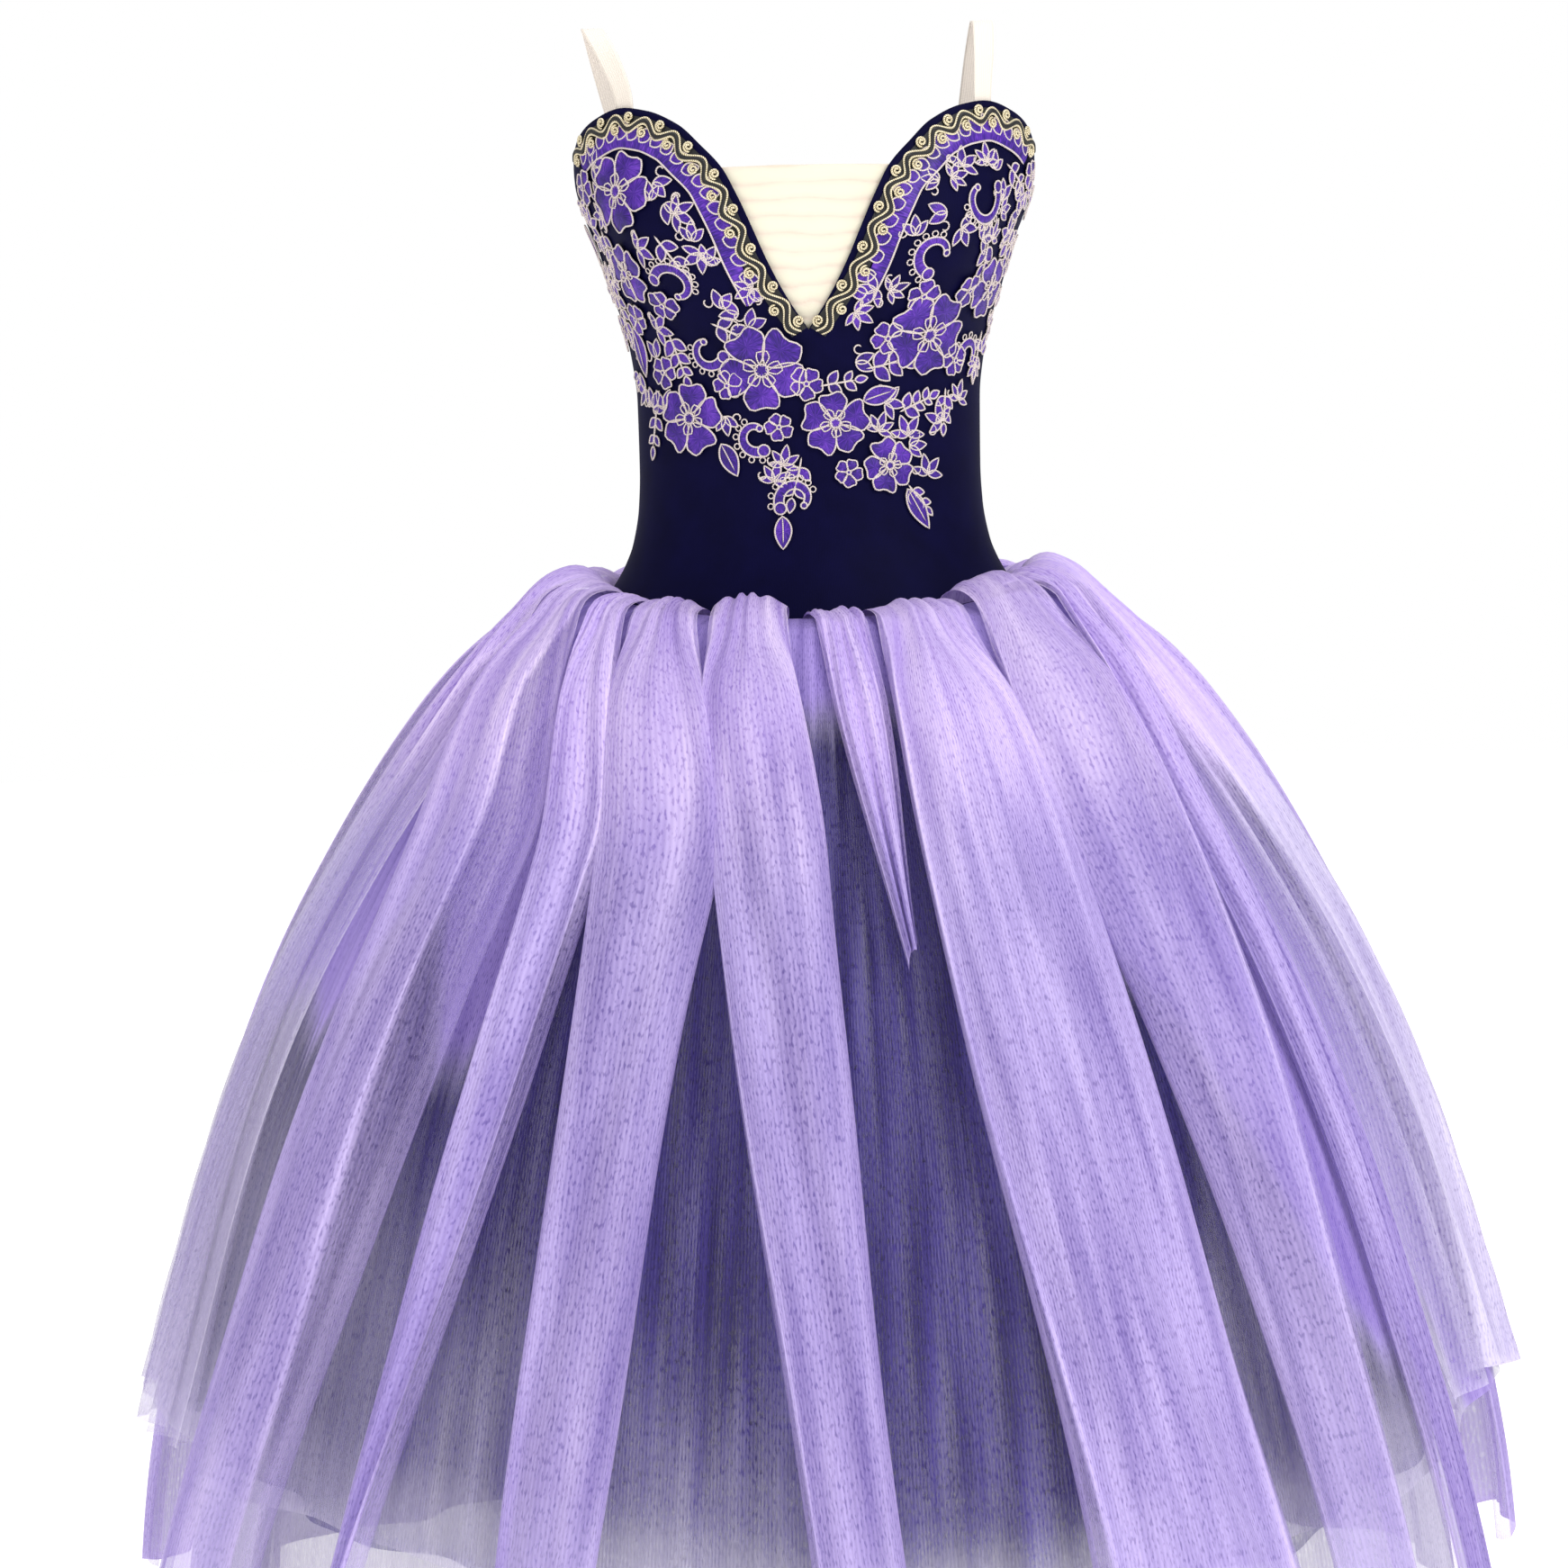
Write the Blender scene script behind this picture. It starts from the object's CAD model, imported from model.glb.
"""Ballet dress: cloth, net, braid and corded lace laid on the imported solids.

Metres, +Z up, front towards -Y, origin midway between the straps level with the shoulders. A "drop"
is a distance straight down from there, an azimuth is 0 at centre front and 90 degrees at +X.
"""

import bmesh
import bpy
import numpy as np
from mathutils import Matrix, Vector


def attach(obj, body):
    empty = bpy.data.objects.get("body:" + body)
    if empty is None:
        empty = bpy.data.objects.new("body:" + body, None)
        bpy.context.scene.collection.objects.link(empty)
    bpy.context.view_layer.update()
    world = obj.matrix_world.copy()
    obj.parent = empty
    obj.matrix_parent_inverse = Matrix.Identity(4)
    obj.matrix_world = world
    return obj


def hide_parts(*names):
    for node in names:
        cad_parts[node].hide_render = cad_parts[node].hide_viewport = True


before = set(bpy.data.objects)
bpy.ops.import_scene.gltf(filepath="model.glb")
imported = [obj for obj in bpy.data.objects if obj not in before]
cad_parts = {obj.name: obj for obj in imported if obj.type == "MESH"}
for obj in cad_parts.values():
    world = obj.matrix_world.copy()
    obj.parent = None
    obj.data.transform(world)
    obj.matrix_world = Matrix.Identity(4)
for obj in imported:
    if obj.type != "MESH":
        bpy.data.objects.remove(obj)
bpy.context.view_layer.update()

bl_info = {
    "name": "Ballet dress",
    "version": (1, 0, 0),
    "blender": (4, 5, 0),
    "location": "3D View > Sidebar > Ballet dress",
    "description": "Stretch bodice with gimp braid and corded lace, and a long skirt of gathered net",
    "category": "Object",
}

# Sizes shared with the solids

HALF_WIDTH, FRONT_DEPTH, BACK_DEPTH = 1, 2, 3
# Bodice sections, a row each: drop, half width, front depth, back depth
SECTIONS = (
    (0.040, 0.1560, 0.100, 0.088), (0.080, 0.1570, 0.106, 0.088), (0.104, 0.1555, 0.109, 0.088),
    (0.128, 0.1490, 0.110, 0.088), (0.152, 0.1395, 0.109, 0.087), (0.176, 0.1330, 0.106, 0.086),
    (0.201, 0.1245, 0.102, 0.084), (0.225, 0.1195, 0.096, 0.083), (0.250, 0.1167, 0.092, 0.082),
    (0.298, 0.1163, 0.088, 0.081), (0.323, 0.1175, 0.089, 0.083), (0.348, 0.1220, 0.092, 0.088),
    (0.361, 0.1270, 0.095, 0.092), (0.372, 0.1330, 0.099, 0.097), (0.384, 0.1410, 0.104, 0.102),
    (0.398, 0.1490, 0.110, 0.109), (0.425, 0.1600, 0.119, 0.119),
)
CUP_AZIMUTH, CUP_SPREAD, CUP_DROP, CUP_HEIGHT, CUP_SWELL = 37.0, 20.0, 0.150, 0.042, 0.13
EDGE_DROP = 1
# Upper edge of the bodice: azimuth, drop
NECKLINE = (
    (0.0, 0.2075), (5.8, 0.1874), (10.9, 0.1620), (16.4, 0.1219), (20.0, 0.1020), (25.5, 0.0862),
    (32.0, 0.0716), (41.0, 0.0620), (50.0, 0.0588), (63.0, 0.0650), (76.0, 0.0775), (86.0, 0.1000),
    (93.0, 0.1320), (102.0, 0.1580), (140.0, 0.1880), (180.0, 0.2000),
)
V_END_AZIMUTH = 25.5
SEAM_SIDE_DROP, SEAM_FRONT_DIP, SEAM_BACK_DIP, BASQUE_TUCK = 0.381, 0.016, 0.006, 0.017
SIDE_SEAM_AZIMUTH, SIDE_SEAM_HALF_GAP = 93.0, 0.07
BODICE_WALL, MESH_WALL, STRAP_WALL = 0.0015, 0.0010, 0.0012
INSIDE_GAP, INSERT_GAP, INSERT_LAP = 0.0011, 0.0021, 0.0035
INSERT_TOP_DROP, INSERT_BOTTOM_DROP, RUCHES, RUCHE_HEIGHT = 0.1003, 0.2130, 10, 0.0009
STRAP_WIDTH, STRAP_FRONT_AZIMUTH, STRAP_BACK_AZIMUTH = 0.0136, 50.0, 139.0
STRAP_FRONT_LAP, STRAP_BACK_LAP = 0.013, 0.012
STRAP_FLAT_SHARE, STRAP_TURN_START, STRAP_TURN_SHARE = 0.30, 0.35, 0.55
# x, y and drop of the points that each strap passes between its two ends
STRAP_ROUTES = {
    "left": (
        (-0.1280, -0.0520, 0.0260), (-0.1400, -0.0260, 0.0040), (-0.1420, 0.0050, 0.0006),
        (-0.1370, 0.0330, 0.0230), (-0.1220, 0.0530, 0.0800), (-0.1050, 0.0590, 0.1400),
    ),
    "right": (
        (0.1200, -0.0520, 0.0260), (0.1210, -0.0260, 0.0040), (0.1210, 0.0050, 0.0006),
        (0.1180, 0.0330, 0.0230), (0.1110, 0.0530, 0.0800), (0.1000, 0.0590, 0.1400),
    ),
}
OUT, BELOW = 1, 2
# Skirt profile: out from and below the seam
PROFILE = (
    (0.0000, 0.0000), (0.0055, -0.0110), (0.0190, -0.0160), (0.0370, -0.0090), (0.0620, 0.0155),
    (0.0858, 0.0407), (0.1265, 0.0904), (0.1611, 0.1401), (0.1915, 0.1900), (0.2192, 0.2401),
    (0.2429, 0.2905), (0.2633, 0.3410), (0.2807, 0.3917), (0.2962, 0.4426), (0.3112, 0.4938),
    (0.3253, 0.5451), (0.3370, 0.5950), (0.3470, 0.6450), (0.3540, 0.6950), (0.3590, 0.7450),
)
DEPTH_SHARE = 0.86
SEAM_STAND_OFF = 0.0008
SMALL = 1e-4
FINE_STEPS = 2000
MERGE = 1e-6

# Small helpers


def linear(hex_colour):
    """Linear colour, with alpha 1, of an sRGB hex value."""
    value = np.array([int(hex_colour[i:i + 2], 16) / 255 for i in (1, 3, 5)])
    value = np.where(value <= 0.04045, value / 12.92, ((value + 0.055) / 1.055) ** 2.4)
    return (*(float(part) for part in value), 1.0)


def smooth(at, rows, column, key=0):
    """Cubic through the rows of a table, which neither overshoots nor leaves the table's ends."""
    known_at = np.array([row[key] for row in rows], float)
    known = np.array([row[column] for row in rows], float)
    step = np.diff(known_at)
    slope = np.diff(known) / step
    product = slope[1:] * slope[:-1]
    total = slope[1:] + slope[:-1]
    even = np.where(product > 0, 2 * product / np.where(product > 0, total, 1.0), 0.0)
    tangent = np.concatenate(([slope[0]], even, [slope[-1]]))
    at = np.clip(np.asarray(at, float), known_at[0], known_at[-1])
    row = np.clip(np.searchsorted(known_at, at, side="right") - 1, 0, len(step) - 1)
    part = (at - known_at[row]) / step[row]
    rest = 1 - part
    ends = known[row] * rest**2 * (1 + 2 * part) + known[row + 1] * part**2 * (1 + 2 * rest)
    slopes = tangent[row] * rest**2 * part - tangent[row + 1] * part**2 * rest
    return ends + slopes * step[row]


def ease(share):
    """From 0 to 1 with a soft start and end."""
    share = np.clip(share, 0.0, 1.0)
    return share * share * (3 - 2 * share)


def unit(vectors):
    """Vectors of length 1 in the same directions."""
    return vectors / np.maximum(np.linalg.norm(vectors, axis=-1, keepdims=True), 1e-12)


def chance(*numbers):
    """A number from 0 to 1 that looks random and depends only on the numbers given."""
    value = np.sin(np.dot(np.array(numbers, float), (12.9898, 78.233, 37.719)[:len(numbers)])) * 43758.5453
    return float(value - np.floor(value))


def grid(points, uv, slot=0, around=False, along=False, edge=0.0, layers=1.0, gather=0.0):
    """One grid of a mesh: its points, its uv (one column more where it closes around, one row more
    where it closes along), its material slot, how near each point is to a cut or folded edge, how
    thick the cloth lies there, and how tightly it is gathered."""
    marks = {"edge": edge, "layers": layers, "gather": gather}
    marks = {mark: np.broadcast_to(value, points.shape[:2]) for mark, value in marks.items()}
    return {"points": points, "uv": uv, "slot": slot, "around": around, "along": along, **marks}


def add_piece(name, grids, materials, nodes=(), merge=False):
    """Joins grids into one smooth mesh that rides on the dress and stands for its solids. A face runs
    down a row and then along a column, so that rows down and columns anticlockwise face outwards."""
    points, faces, uvs, slots = [], [], [], []
    start = 0
    for part in grids:
        rows, columns = part["points"].shape[:2]
        index = start + np.arange(rows * columns).reshape(rows, columns)
        if part["around"]:
            index = np.concatenate((index, index[:, :1]), axis=1)
        if part["along"]:
            index = np.concatenate((index, index[:1]), axis=0)
        corners = [np.s_[:-1, :-1], np.s_[1:, :-1], np.s_[1:, 1:], np.s_[:-1, 1:]]
        faces.append(np.stack([index[cut] for cut in corners], -1).reshape(-1, 4))
        uvs.append(np.stack([part["uv"][cut] for cut in corners], -2).reshape(-1, 2))
        slots.append(np.full(len(faces[-1]), part["slot"]))
        points.append(part["points"].reshape(-1, 3))
        start += rows * columns
    points, faces, uvs = np.concatenate(points), np.concatenate(faces), np.concatenate(uvs)
    mesh = bpy.data.meshes.new(name)
    mesh.from_pydata(points.tolist(), [], faces.tolist())
    mesh.uv_layers.new(name="cloth").data.foreach_set("uv", uvs.astype(np.float32).ravel())
    for mark in ("edge", "layers", "gather"):
        values = np.concatenate([part[mark].ravel() for part in grids])
        mesh.attributes.new(mark, "FLOAT", "POINT").data.foreach_set("value", values.astype(np.float32))
    for material in materials:
        mesh.materials.append(material)
    mesh.polygons.foreach_set("material_index", np.concatenate(slots).astype(np.int32))
    mesh.polygons.foreach_set("use_smooth", np.ones(len(faces), bool))
    if merge:
        work = bmesh.new()
        work.from_mesh(mesh)
        bmesh.ops.remove_doubles(work, verts=work.verts[:], dist=MERGE)
        work.to_mesh(mesh)
        work.free()
    mesh.update()
    piece = bpy.data.objects.new(name, mesh)
    bpy.context.scene.collection.objects.link(piece)
    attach(piece, "root")
    if nodes:
        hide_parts(*nodes)
    return piece


def thicken(piece, wall):
    """Gives an open cloth surface its wall, on the inside."""
    solid = piece.modifiers.new("wall", "SOLIDIFY")
    solid.thickness = wall
    solid.offset = -1.0
    return piece


# Bodice and skirt as functions


def half_sizes(azimuth, drop):
    """Half width and depth of the bodice's level section, front or back by the azimuth."""
    front = smooth(drop, SECTIONS, FRONT_DEPTH)
    back = smooth(drop, SECTIONS, BACK_DEPTH)
    return smooth(drop, SECTIONS, HALF_WIDTH), np.where(np.cos(azimuth) > 0, front, back)


def bodice_point(azimuth, drop):
    """A point of the bodice's outer face: an ellipse at each level, swelled over the two cups."""
    azimuth, drop = np.broadcast_arrays(np.asarray(azimuth, float), np.asarray(drop, float))
    width, depth = half_sizes(azimuth, drop)
    turned = np.degrees(np.abs((azimuth + np.pi) % (2 * np.pi) - np.pi))
    off_cup = ((turned - CUP_AZIMUTH) / CUP_SPREAD) ** 2 + ((drop - CUP_DROP) / CUP_HEIGHT) ** 2
    swell = 1 + CUP_SWELL * np.exp(-off_cup)
    return np.stack((width * swell * np.sin(azimuth), -depth * swell * np.cos(azimuth), -drop), -1)


def bodice_frame(azimuth, drop):
    """Point, and how it moves for one radian round and for one metre of drop."""
    here = bodice_point(azimuth, drop)
    around = (bodice_point(azimuth + SMALL, drop) - here) / SMALL
    down = (bodice_point(azimuth, drop + SMALL) - here) / SMALL
    return here, around, down


def on_bodice(azimuth, drop, height):
    """A point moved off the bodice's outer face along its outward normal."""
    here, around, down = bodice_frame(azimuth, drop)
    return here + np.asarray(height)[..., None] * unit(np.cross(down, around))


def neckline(azimuth):
    """Drop of the bodice's upper edge at an azimuth in radians."""
    turned = np.degrees(np.abs((np.asarray(azimuth) + np.pi) % (2 * np.pi) - np.pi))
    return smooth(turned, NECKLINE, EDGE_DROP)


def seam_drop(azimuth):
    """Drop of the skirt's seam, lowest at centre front."""
    ahead = np.cos(azimuth)
    return SEAM_SIDE_DROP + np.where(ahead > 0, SEAM_FRONT_DIP, SEAM_BACK_DIP) * ahead**2


def profile_run():
    """The profile's rows with the length along it as the first column."""
    rows = np.array(PROFILE)
    run = np.concatenate(([0.0], np.cumsum(np.hypot(*np.diff(rows, axis=0).T))))
    return [(at, out, below) for at, (out, below) in zip(run, PROFILE)]


PROFILE_RUN = profile_run()
FULL_RUN = PROFILE_RUN[-1][0]


def profile_end(hem_below):
    """Length along the profile at which it is that far below the seam."""
    at = np.linspace(0.0, FULL_RUN, FINE_STEPS)
    return np.interp(hem_below, smooth(at, PROFILE_RUN, BELOW), at)


def skirt_point(azimuth, run, share, puff, seam_step):
    """A point of a skirt layer: out from the bodice's section at its own seam, and down the profile.
    The puff above the seam and the distance out are the layer's shares of the outer profile's."""
    azimuth, run = np.broadcast_arrays(np.asarray(azimuth, float), np.asarray(run, float))
    out = smooth(run, PROFILE_RUN, OUT) * share
    below = smooth(run, PROFILE_RUN, BELOW)
    below = np.where(below < 0, below * puff, below)
    start = seam_drop(azimuth) + seam_step
    hang = ease(run / FULL_RUN)
    drop = start + (SEAM_SIDE_DROP + seam_step - start) * hang + below
    width, depth = half_sizes(azimuth, start)
    width = width + SEAM_STAND_OFF + out
    depth = depth + SEAM_STAND_OFF + out * DEPTH_SHARE
    return np.stack((width * np.sin(azimuth), -depth * np.cos(azimuth), -drop), -1)


# Materials


def add_node(tree, kind, settings=None, **sockets):
    """Adds a node, sets its properties, and sets each named socket to a value or links it to another
    node's output. A socket's name is its identifier with spaces as underscores, or i0, i1 for a number."""
    node = tree.nodes.new(kind)
    for key, value in (settings or {}).items():
        setattr(node, key, value)
    for key, value in sockets.items():
        found = node.inputs[int(key[1:])] if key[0] == "i" and key[1:].isdigit() else node.inputs[
            key.replace("_", " ")]
        if isinstance(value, bpy.types.NodeSocket):
            tree.links.new(value, found)
        else:
            found.default_value = value
    return node


def maths(tree, operation, *values):
    """Output of a Math node with those inputs."""
    sockets = {f"i{place}": value for place, value in enumerate(values)}
    return add_node(tree, "ShaderNodeMath", {"operation": operation}, **sockets).outputs[0]


def blank(name):
    """A new material, its tree and its shader."""
    material = bpy.data.materials.new(name)
    material.use_nodes = True
    tree = material.node_tree
    return material, tree, tree.nodes["Principled BSDF"]


def ramp(tree, factor, *stops):
    """Output of a Color Ramp with (position, colour) stops."""
    node = add_node(tree, "ShaderNodeValToRGB", Fac=factor)
    band = node.color_ramp
    while len(band.elements) < len(stops):
        band.elements.new(0.5)
    for element, (position, colour) in zip(band.elements, stops):
        element.position = position
        element.color = colour
    return node.outputs[0]


def scaled(colour, factor):
    """A colour made lighter or darker, with alpha 1."""
    return (*(min(1.0, part * factor) for part in tuple(colour)[:3]), 1.0)


def stretch_jersey(name, colour):
    """Warp-knit nylon and elastane jersey, brushed on the back. Wales 0.9 mm apart, drawn a little
    coarse so that they show, give it a soft satin look with light catching the curves."""
    material, tree, shader = blank(name)
    where = add_node(tree, "ShaderNodeUVMap", {"uv_map": "cloth"}).outputs[0]
    wales = add_node(tree, "ShaderNodeTexWave", {"bands_direction": "X"}, Vector=where,
                     Scale=2 * np.pi / (20 * 0.0009), Distortion=0.6, Detail=1.0).outputs[1]
    mottle = add_node(tree, "ShaderNodeTexNoise", Vector=where, Scale=38.0, Detail=4.0).outputs[0]
    tone = maths(tree, "ADD", maths(tree, "MULTIPLY", wales, 0.25), maths(tree, "MULTIPLY", mottle, 0.8))
    base = ramp(tree, tone, (0.25, scaled(colour, 0.7)), (0.85, scaled(colour, 1.4)))
    tree.links.new(base, shader.inputs["Base Color"])
    shader.inputs["Roughness"].default_value = 0.60
    shader.inputs["Sheen Weight"].default_value = 0.02
    shader.inputs["Sheen Roughness"].default_value = 0.4
    shader.inputs["Sheen Tint"].default_value = linear("#6a6ab8")
    shader.inputs["Specular IOR Level"].default_value = 0.05
    bump = add_node(tree, "ShaderNodeBump", Strength=0.15, Distance=0.0002, Height=wales)
    tree.links.new(bump.outputs[0], shader.inputs["Normal"])
    return material


def ruched_mesh(name, colour):
    """Nylon power mesh over a lining: matte cream, pinker in the bottoms of its gathers, with holes
    of 1 mm that show as a faint net."""
    material, tree, shader = blank(name)
    where = add_node(tree, "ShaderNodeUVMap", {"uv_map": "cloth"}).outputs[0]
    holes = add_node(tree, "ShaderNodeTexVoronoi", Vector=where, Scale=900.0).outputs[0]
    fold = add_node(tree, "ShaderNodeAttribute", {"attribute_name": "edge"}).outputs["Fac"]
    mottle = add_node(tree, "ShaderNodeTexNoise", Vector=where, Scale=60.0, Detail=3.0).outputs[0]
    tone = maths(tree, "ADD", maths(tree, "MULTIPLY", fold, 0.6), maths(tree, "MULTIPLY", mottle, 0.4))
    base = ramp(tree, tone, (0.1, linear("#e4cfbd")), (0.4, linear("#e9dccb")), (0.75, colour))
    tree.links.new(base, shader.inputs["Base Color"])
    shader.inputs["Roughness"].default_value = 0.8
    shader.inputs["Sheen Weight"].default_value = 0.2
    bump = add_node(tree, "ShaderNodeBump", Strength=0.25, Distance=0.0002, Height=holes)
    tree.links.new(bump.outputs[0], shader.inputs["Normal"])
    return material


def ribbed_elastic(name, colour):
    """Flat woven strap elastic: ribs 1.5 mm apart along its length and a denser selvedge."""
    material, tree, shader = blank(name)
    where = add_node(tree, "ShaderNodeUVMap", {"uv_map": "cloth"}).outputs[0]
    ribs = add_node(tree, "ShaderNodeTexWave", {"bands_direction": "X"}, Vector=where,
                    Scale=2 * np.pi / (20 * 0.0015), Distortion=0.2).outputs[1]
    picks = add_node(tree, "ShaderNodeTexWave", {"bands_direction": "Y"}, Vector=where,
                     Scale=2 * np.pi / (20 * 0.0009), Distortion=0.3).outputs[1]
    weave = maths(tree, "MULTIPLY", ribs, picks)
    base = ramp(tree, weave, (0.0, scaled(colour, 0.84)), (0.8, scaled(colour, 1.05)))
    tree.links.new(base, shader.inputs["Base Color"])
    shader.inputs["Roughness"].default_value = 0.7
    bump = add_node(tree, "ShaderNodeBump", Strength=0.4, Distance=0.0003, Height=weave)
    tree.links.new(bump.outputs[0], shader.inputs["Normal"])
    return material


def wound_cord(name, colour, dark, metallic, roughness, turn=0.0012):
    """Cord wound or twisted from fine thread: slanted turns 1.2 mm apart catch the light one by one."""
    material, tree, shader = blank(name)
    where = add_node(tree, "ShaderNodeUVMap", {"uv_map": "cloth"}).outputs[0]
    slant = add_node(tree, "ShaderNodeMapping", Vector=where, Rotation=(0.0, 0.0, 0.5)).outputs[0]
    turns = add_node(tree, "ShaderNodeTexWave", {"bands_direction": "Y"}, Vector=slant,
                     Scale=2 * np.pi / (20 * turn), Distortion=0.5, Detail=1.0).outputs[1]
    place = add_node(tree, "ShaderNodeTexCoord").outputs["Object"]
    mottle = add_node(tree, "ShaderNodeTexNoise", Vector=place, Scale=240.0, Detail=3.0).outputs[0]
    tone = maths(tree, "ADD", maths(tree, "MULTIPLY", turns, 0.55), maths(tree, "MULTIPLY", mottle, 0.45))
    base = ramp(tree, tone, (0.2, dark), (0.62, colour))
    tree.links.new(base, shader.inputs["Base Color"])
    shader.inputs["Metallic"].default_value = metallic
    shader.inputs["Roughness"].default_value = roughness
    bump = add_node(tree, "ShaderNodeBump", Strength=0.5, Distance=0.0003, Height=turns)
    tree.links.new(bump.outputs[0], shader.inputs["Normal"])
    return material


def satin_stitch(name, colour, light, dark):
    """Rayon embroidery thread in satin stitch: threads 0.8 mm wide, drawn coarse, run out from the
    middle of each petal and shine where they turn."""
    material, tree, shader = blank(name)
    where = add_node(tree, "ShaderNodeUVMap", {"uv_map": "cloth"}).outputs[0]
    split = add_node(tree, "ShaderNodeMapping", Vector=where, Scale=(1.0, 0.16, 1.0)).outputs[0]
    threads = add_node(tree, "ShaderNodeTexNoise", Vector=split, Scale=950.0, Detail=2.0).outputs[0]
    place = add_node(tree, "ShaderNodeTexCoord").outputs["Object"]
    patchy = add_node(tree, "ShaderNodeTexNoise", Vector=place, Scale=55.0, Detail=2.0).outputs[0]
    tone = maths(tree, "ADD", maths(tree, "MULTIPLY", threads, 0.65), maths(tree, "MULTIPLY", patchy, 0.45))
    base = ramp(tree, tone, (0.36, dark), (0.54, colour), (0.72, light))
    tree.links.new(base, shader.inputs["Base Color"])
    shader.inputs["Roughness"].default_value = 0.42
    shader.inputs["Specular IOR Level"].default_value = 0.30
    shader.inputs["Sheen Weight"].default_value = 0.05
    shader.inputs["Sheen Tint"].default_value = light
    bump = add_node(tree, "ShaderNodeBump", Strength=0.7, Distance=0.0004, Height=threads)
    tree.links.new(bump.outputs[0], shader.inputs["Normal"])
    return material


GATHERED_COVER = 0.90


def nylon_net(name, light, shade, cover, pitch, gathered):
    """Nylon tulle: upright yarns with thin dark slubs between them, and long soft streaks where the cloth
    lies fuller. The real holes of about 1 mm are too fine to show, so the yarns are drawn coarser. Cover
    is the share of light that one layer stops, and the attribute "layers" says how thick it lies. Where
    the attribute "gather" is high the cloth is bunched: it shows the two colours given for that, and
    stops nearly all light."""
    material, tree, shader = blank(name)
    where = add_node(tree, "ShaderNodeUVMap", {"uv_map": "cloth"}).outputs[0]

    def stretched(along, scale, detail):
        drawn = add_node(tree, "ShaderNodeMapping", Vector=where, Scale=(1.0, along, 1.0)).outputs[0]
        return add_node(tree, "ShaderNodeTexNoise", Vector=drawn, Scale=scale, Detail=detail).outputs[0]

    place = add_node(tree, "ShaderNodeSeparateXYZ", Vector=where)
    angle = maths(tree, "MULTIPLY_ADD", place.outputs[0], 2 * np.pi / pitch,
                  maths(tree, "MULTIPLY", stretched(0.2, 30.0, 2.0), 5.0))
    yarn = maths(tree, "SINE", angle)
    fleck = add_node(tree, "ShaderNodeMapRange", Value=stretched(0.20, 2.1 / pitch, 1.0), From_Min=0.53,
                     From_Max=0.70).outputs[0]
    streak = maths(tree, "SUBTRACT", stretched(0.06, 75.0, 6.0), 0.5)
    edge = add_node(tree, "ShaderNodeAttribute", {"attribute_name": "edge"}).outputs["Fac"]
    layers = add_node(tree, "ShaderNodeAttribute", {"attribute_name": "layers"}).outputs["Fac"]
    tone = maths(tree, "MULTIPLY_ADD", streak, 1.4, 0.50)
    tone = maths(tree, "MULTIPLY_ADD", yarn, 0.07, tone)
    tone = maths(tree, "MULTIPLY_ADD", fleck, -0.36, tone)
    tone = maths(tree, "MULTIPLY_ADD", edge, 0.45, tone)
    colour = ramp(tree, tone, (0.05, shade), (0.95, light))
    thick = maths(tree, "MULTIPLY", layers, cover)
    gather = add_node(tree, "ShaderNodeAttribute", {"attribute_name": "gather"}).outputs["Fac"]
    near = add_node(tree, "ShaderNodeMapRange", {"interpolation_type": "SMOOTHSTEP"}, From_Min=0.2, From_Max=0.8,
                    Value=maths(tree, "MULTIPLY_ADD", streak, 0.4, gather)).outputs[0]
    bunched = ramp(tree, tone, (0.05, gathered[1]), (0.95, gathered[0]))
    colour = add_node(tree, "ShaderNodeMix", {"data_type": "RGBA"}, i0=near, i6=colour, i7=bunched).outputs[2]
    thick = maths(tree, "MULTIPLY_ADD", near, GATHERED_COVER - cover, thick)
    tree.links.new(colour, shader.inputs["Base Color"])
    thick = maths(tree, "MULTIPLY_ADD", streak, 0.45, thick)
    thick = maths(tree, "MULTIPLY_ADD", yarn, 0.04, thick)
    thick = maths(tree, "MULTIPLY_ADD", fleck, -0.16, thick)
    stops = add_node(tree, "ShaderNodeMath", {"operation": "MULTIPLY_ADD", "use_clamp": True},
                     i0=edge, i1=0.25, i2=thick)
    tree.links.new(stops.outputs[0], shader.inputs["Alpha"])
    shader.inputs["Roughness"].default_value = 0.62
    shader.inputs["Sheen Weight"].default_value = 0.15
    shader.inputs["Sheen Roughness"].default_value = 0.45
    shader.inputs["Sheen Tint"].default_value = light
    shader.inputs["Specular IOR Level"].default_value = 0.15
    bump = add_node(tree, "ShaderNodeBump", Strength=0.25, Distance=0.0005, Height=yarn)
    tree.links.new(bump.outputs[0], shader.inputs["Normal"])
    return material


def painted_board(name, colour):
    """Matt white painted board, lit from below as a studio's light table is, so that it runs into the
    background without a line. Brush marks of a few centimetres show faintly."""
    material, tree, shader = blank(name)
    place = add_node(tree, "ShaderNodeTexCoord").outputs["Object"]
    strokes = add_node(tree, "ShaderNodeTexNoise", Vector=place, Scale=14.0, Detail=3.0).outputs[0]
    tree.links.new(ramp(tree, strokes, (0.3, scaled(colour, 0.97)), (0.7, colour)), shader.inputs["Base Color"])
    shader.inputs["Roughness"].default_value = 0.9
    shader.inputs["Emission Color"].default_value = colour
    shader.inputs["Emission Strength"].default_value = BOARD_GLOW
    return material


# Settings


def colour_setting(name, hex_colour, description):
    """A colour that the user can change."""
    return bpy.props.FloatVectorProperty(
        name=name, description=description, default=linear(hex_colour), size=4, subtype="COLOR",
        min=0.0, max=1.0)


def length_setting(name, default, description):
    """A length that the user can change."""
    return bpy.props.FloatProperty(
        name=name, description=description, default=default, min=0.0, unit="LENGTH", precision=4)


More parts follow.
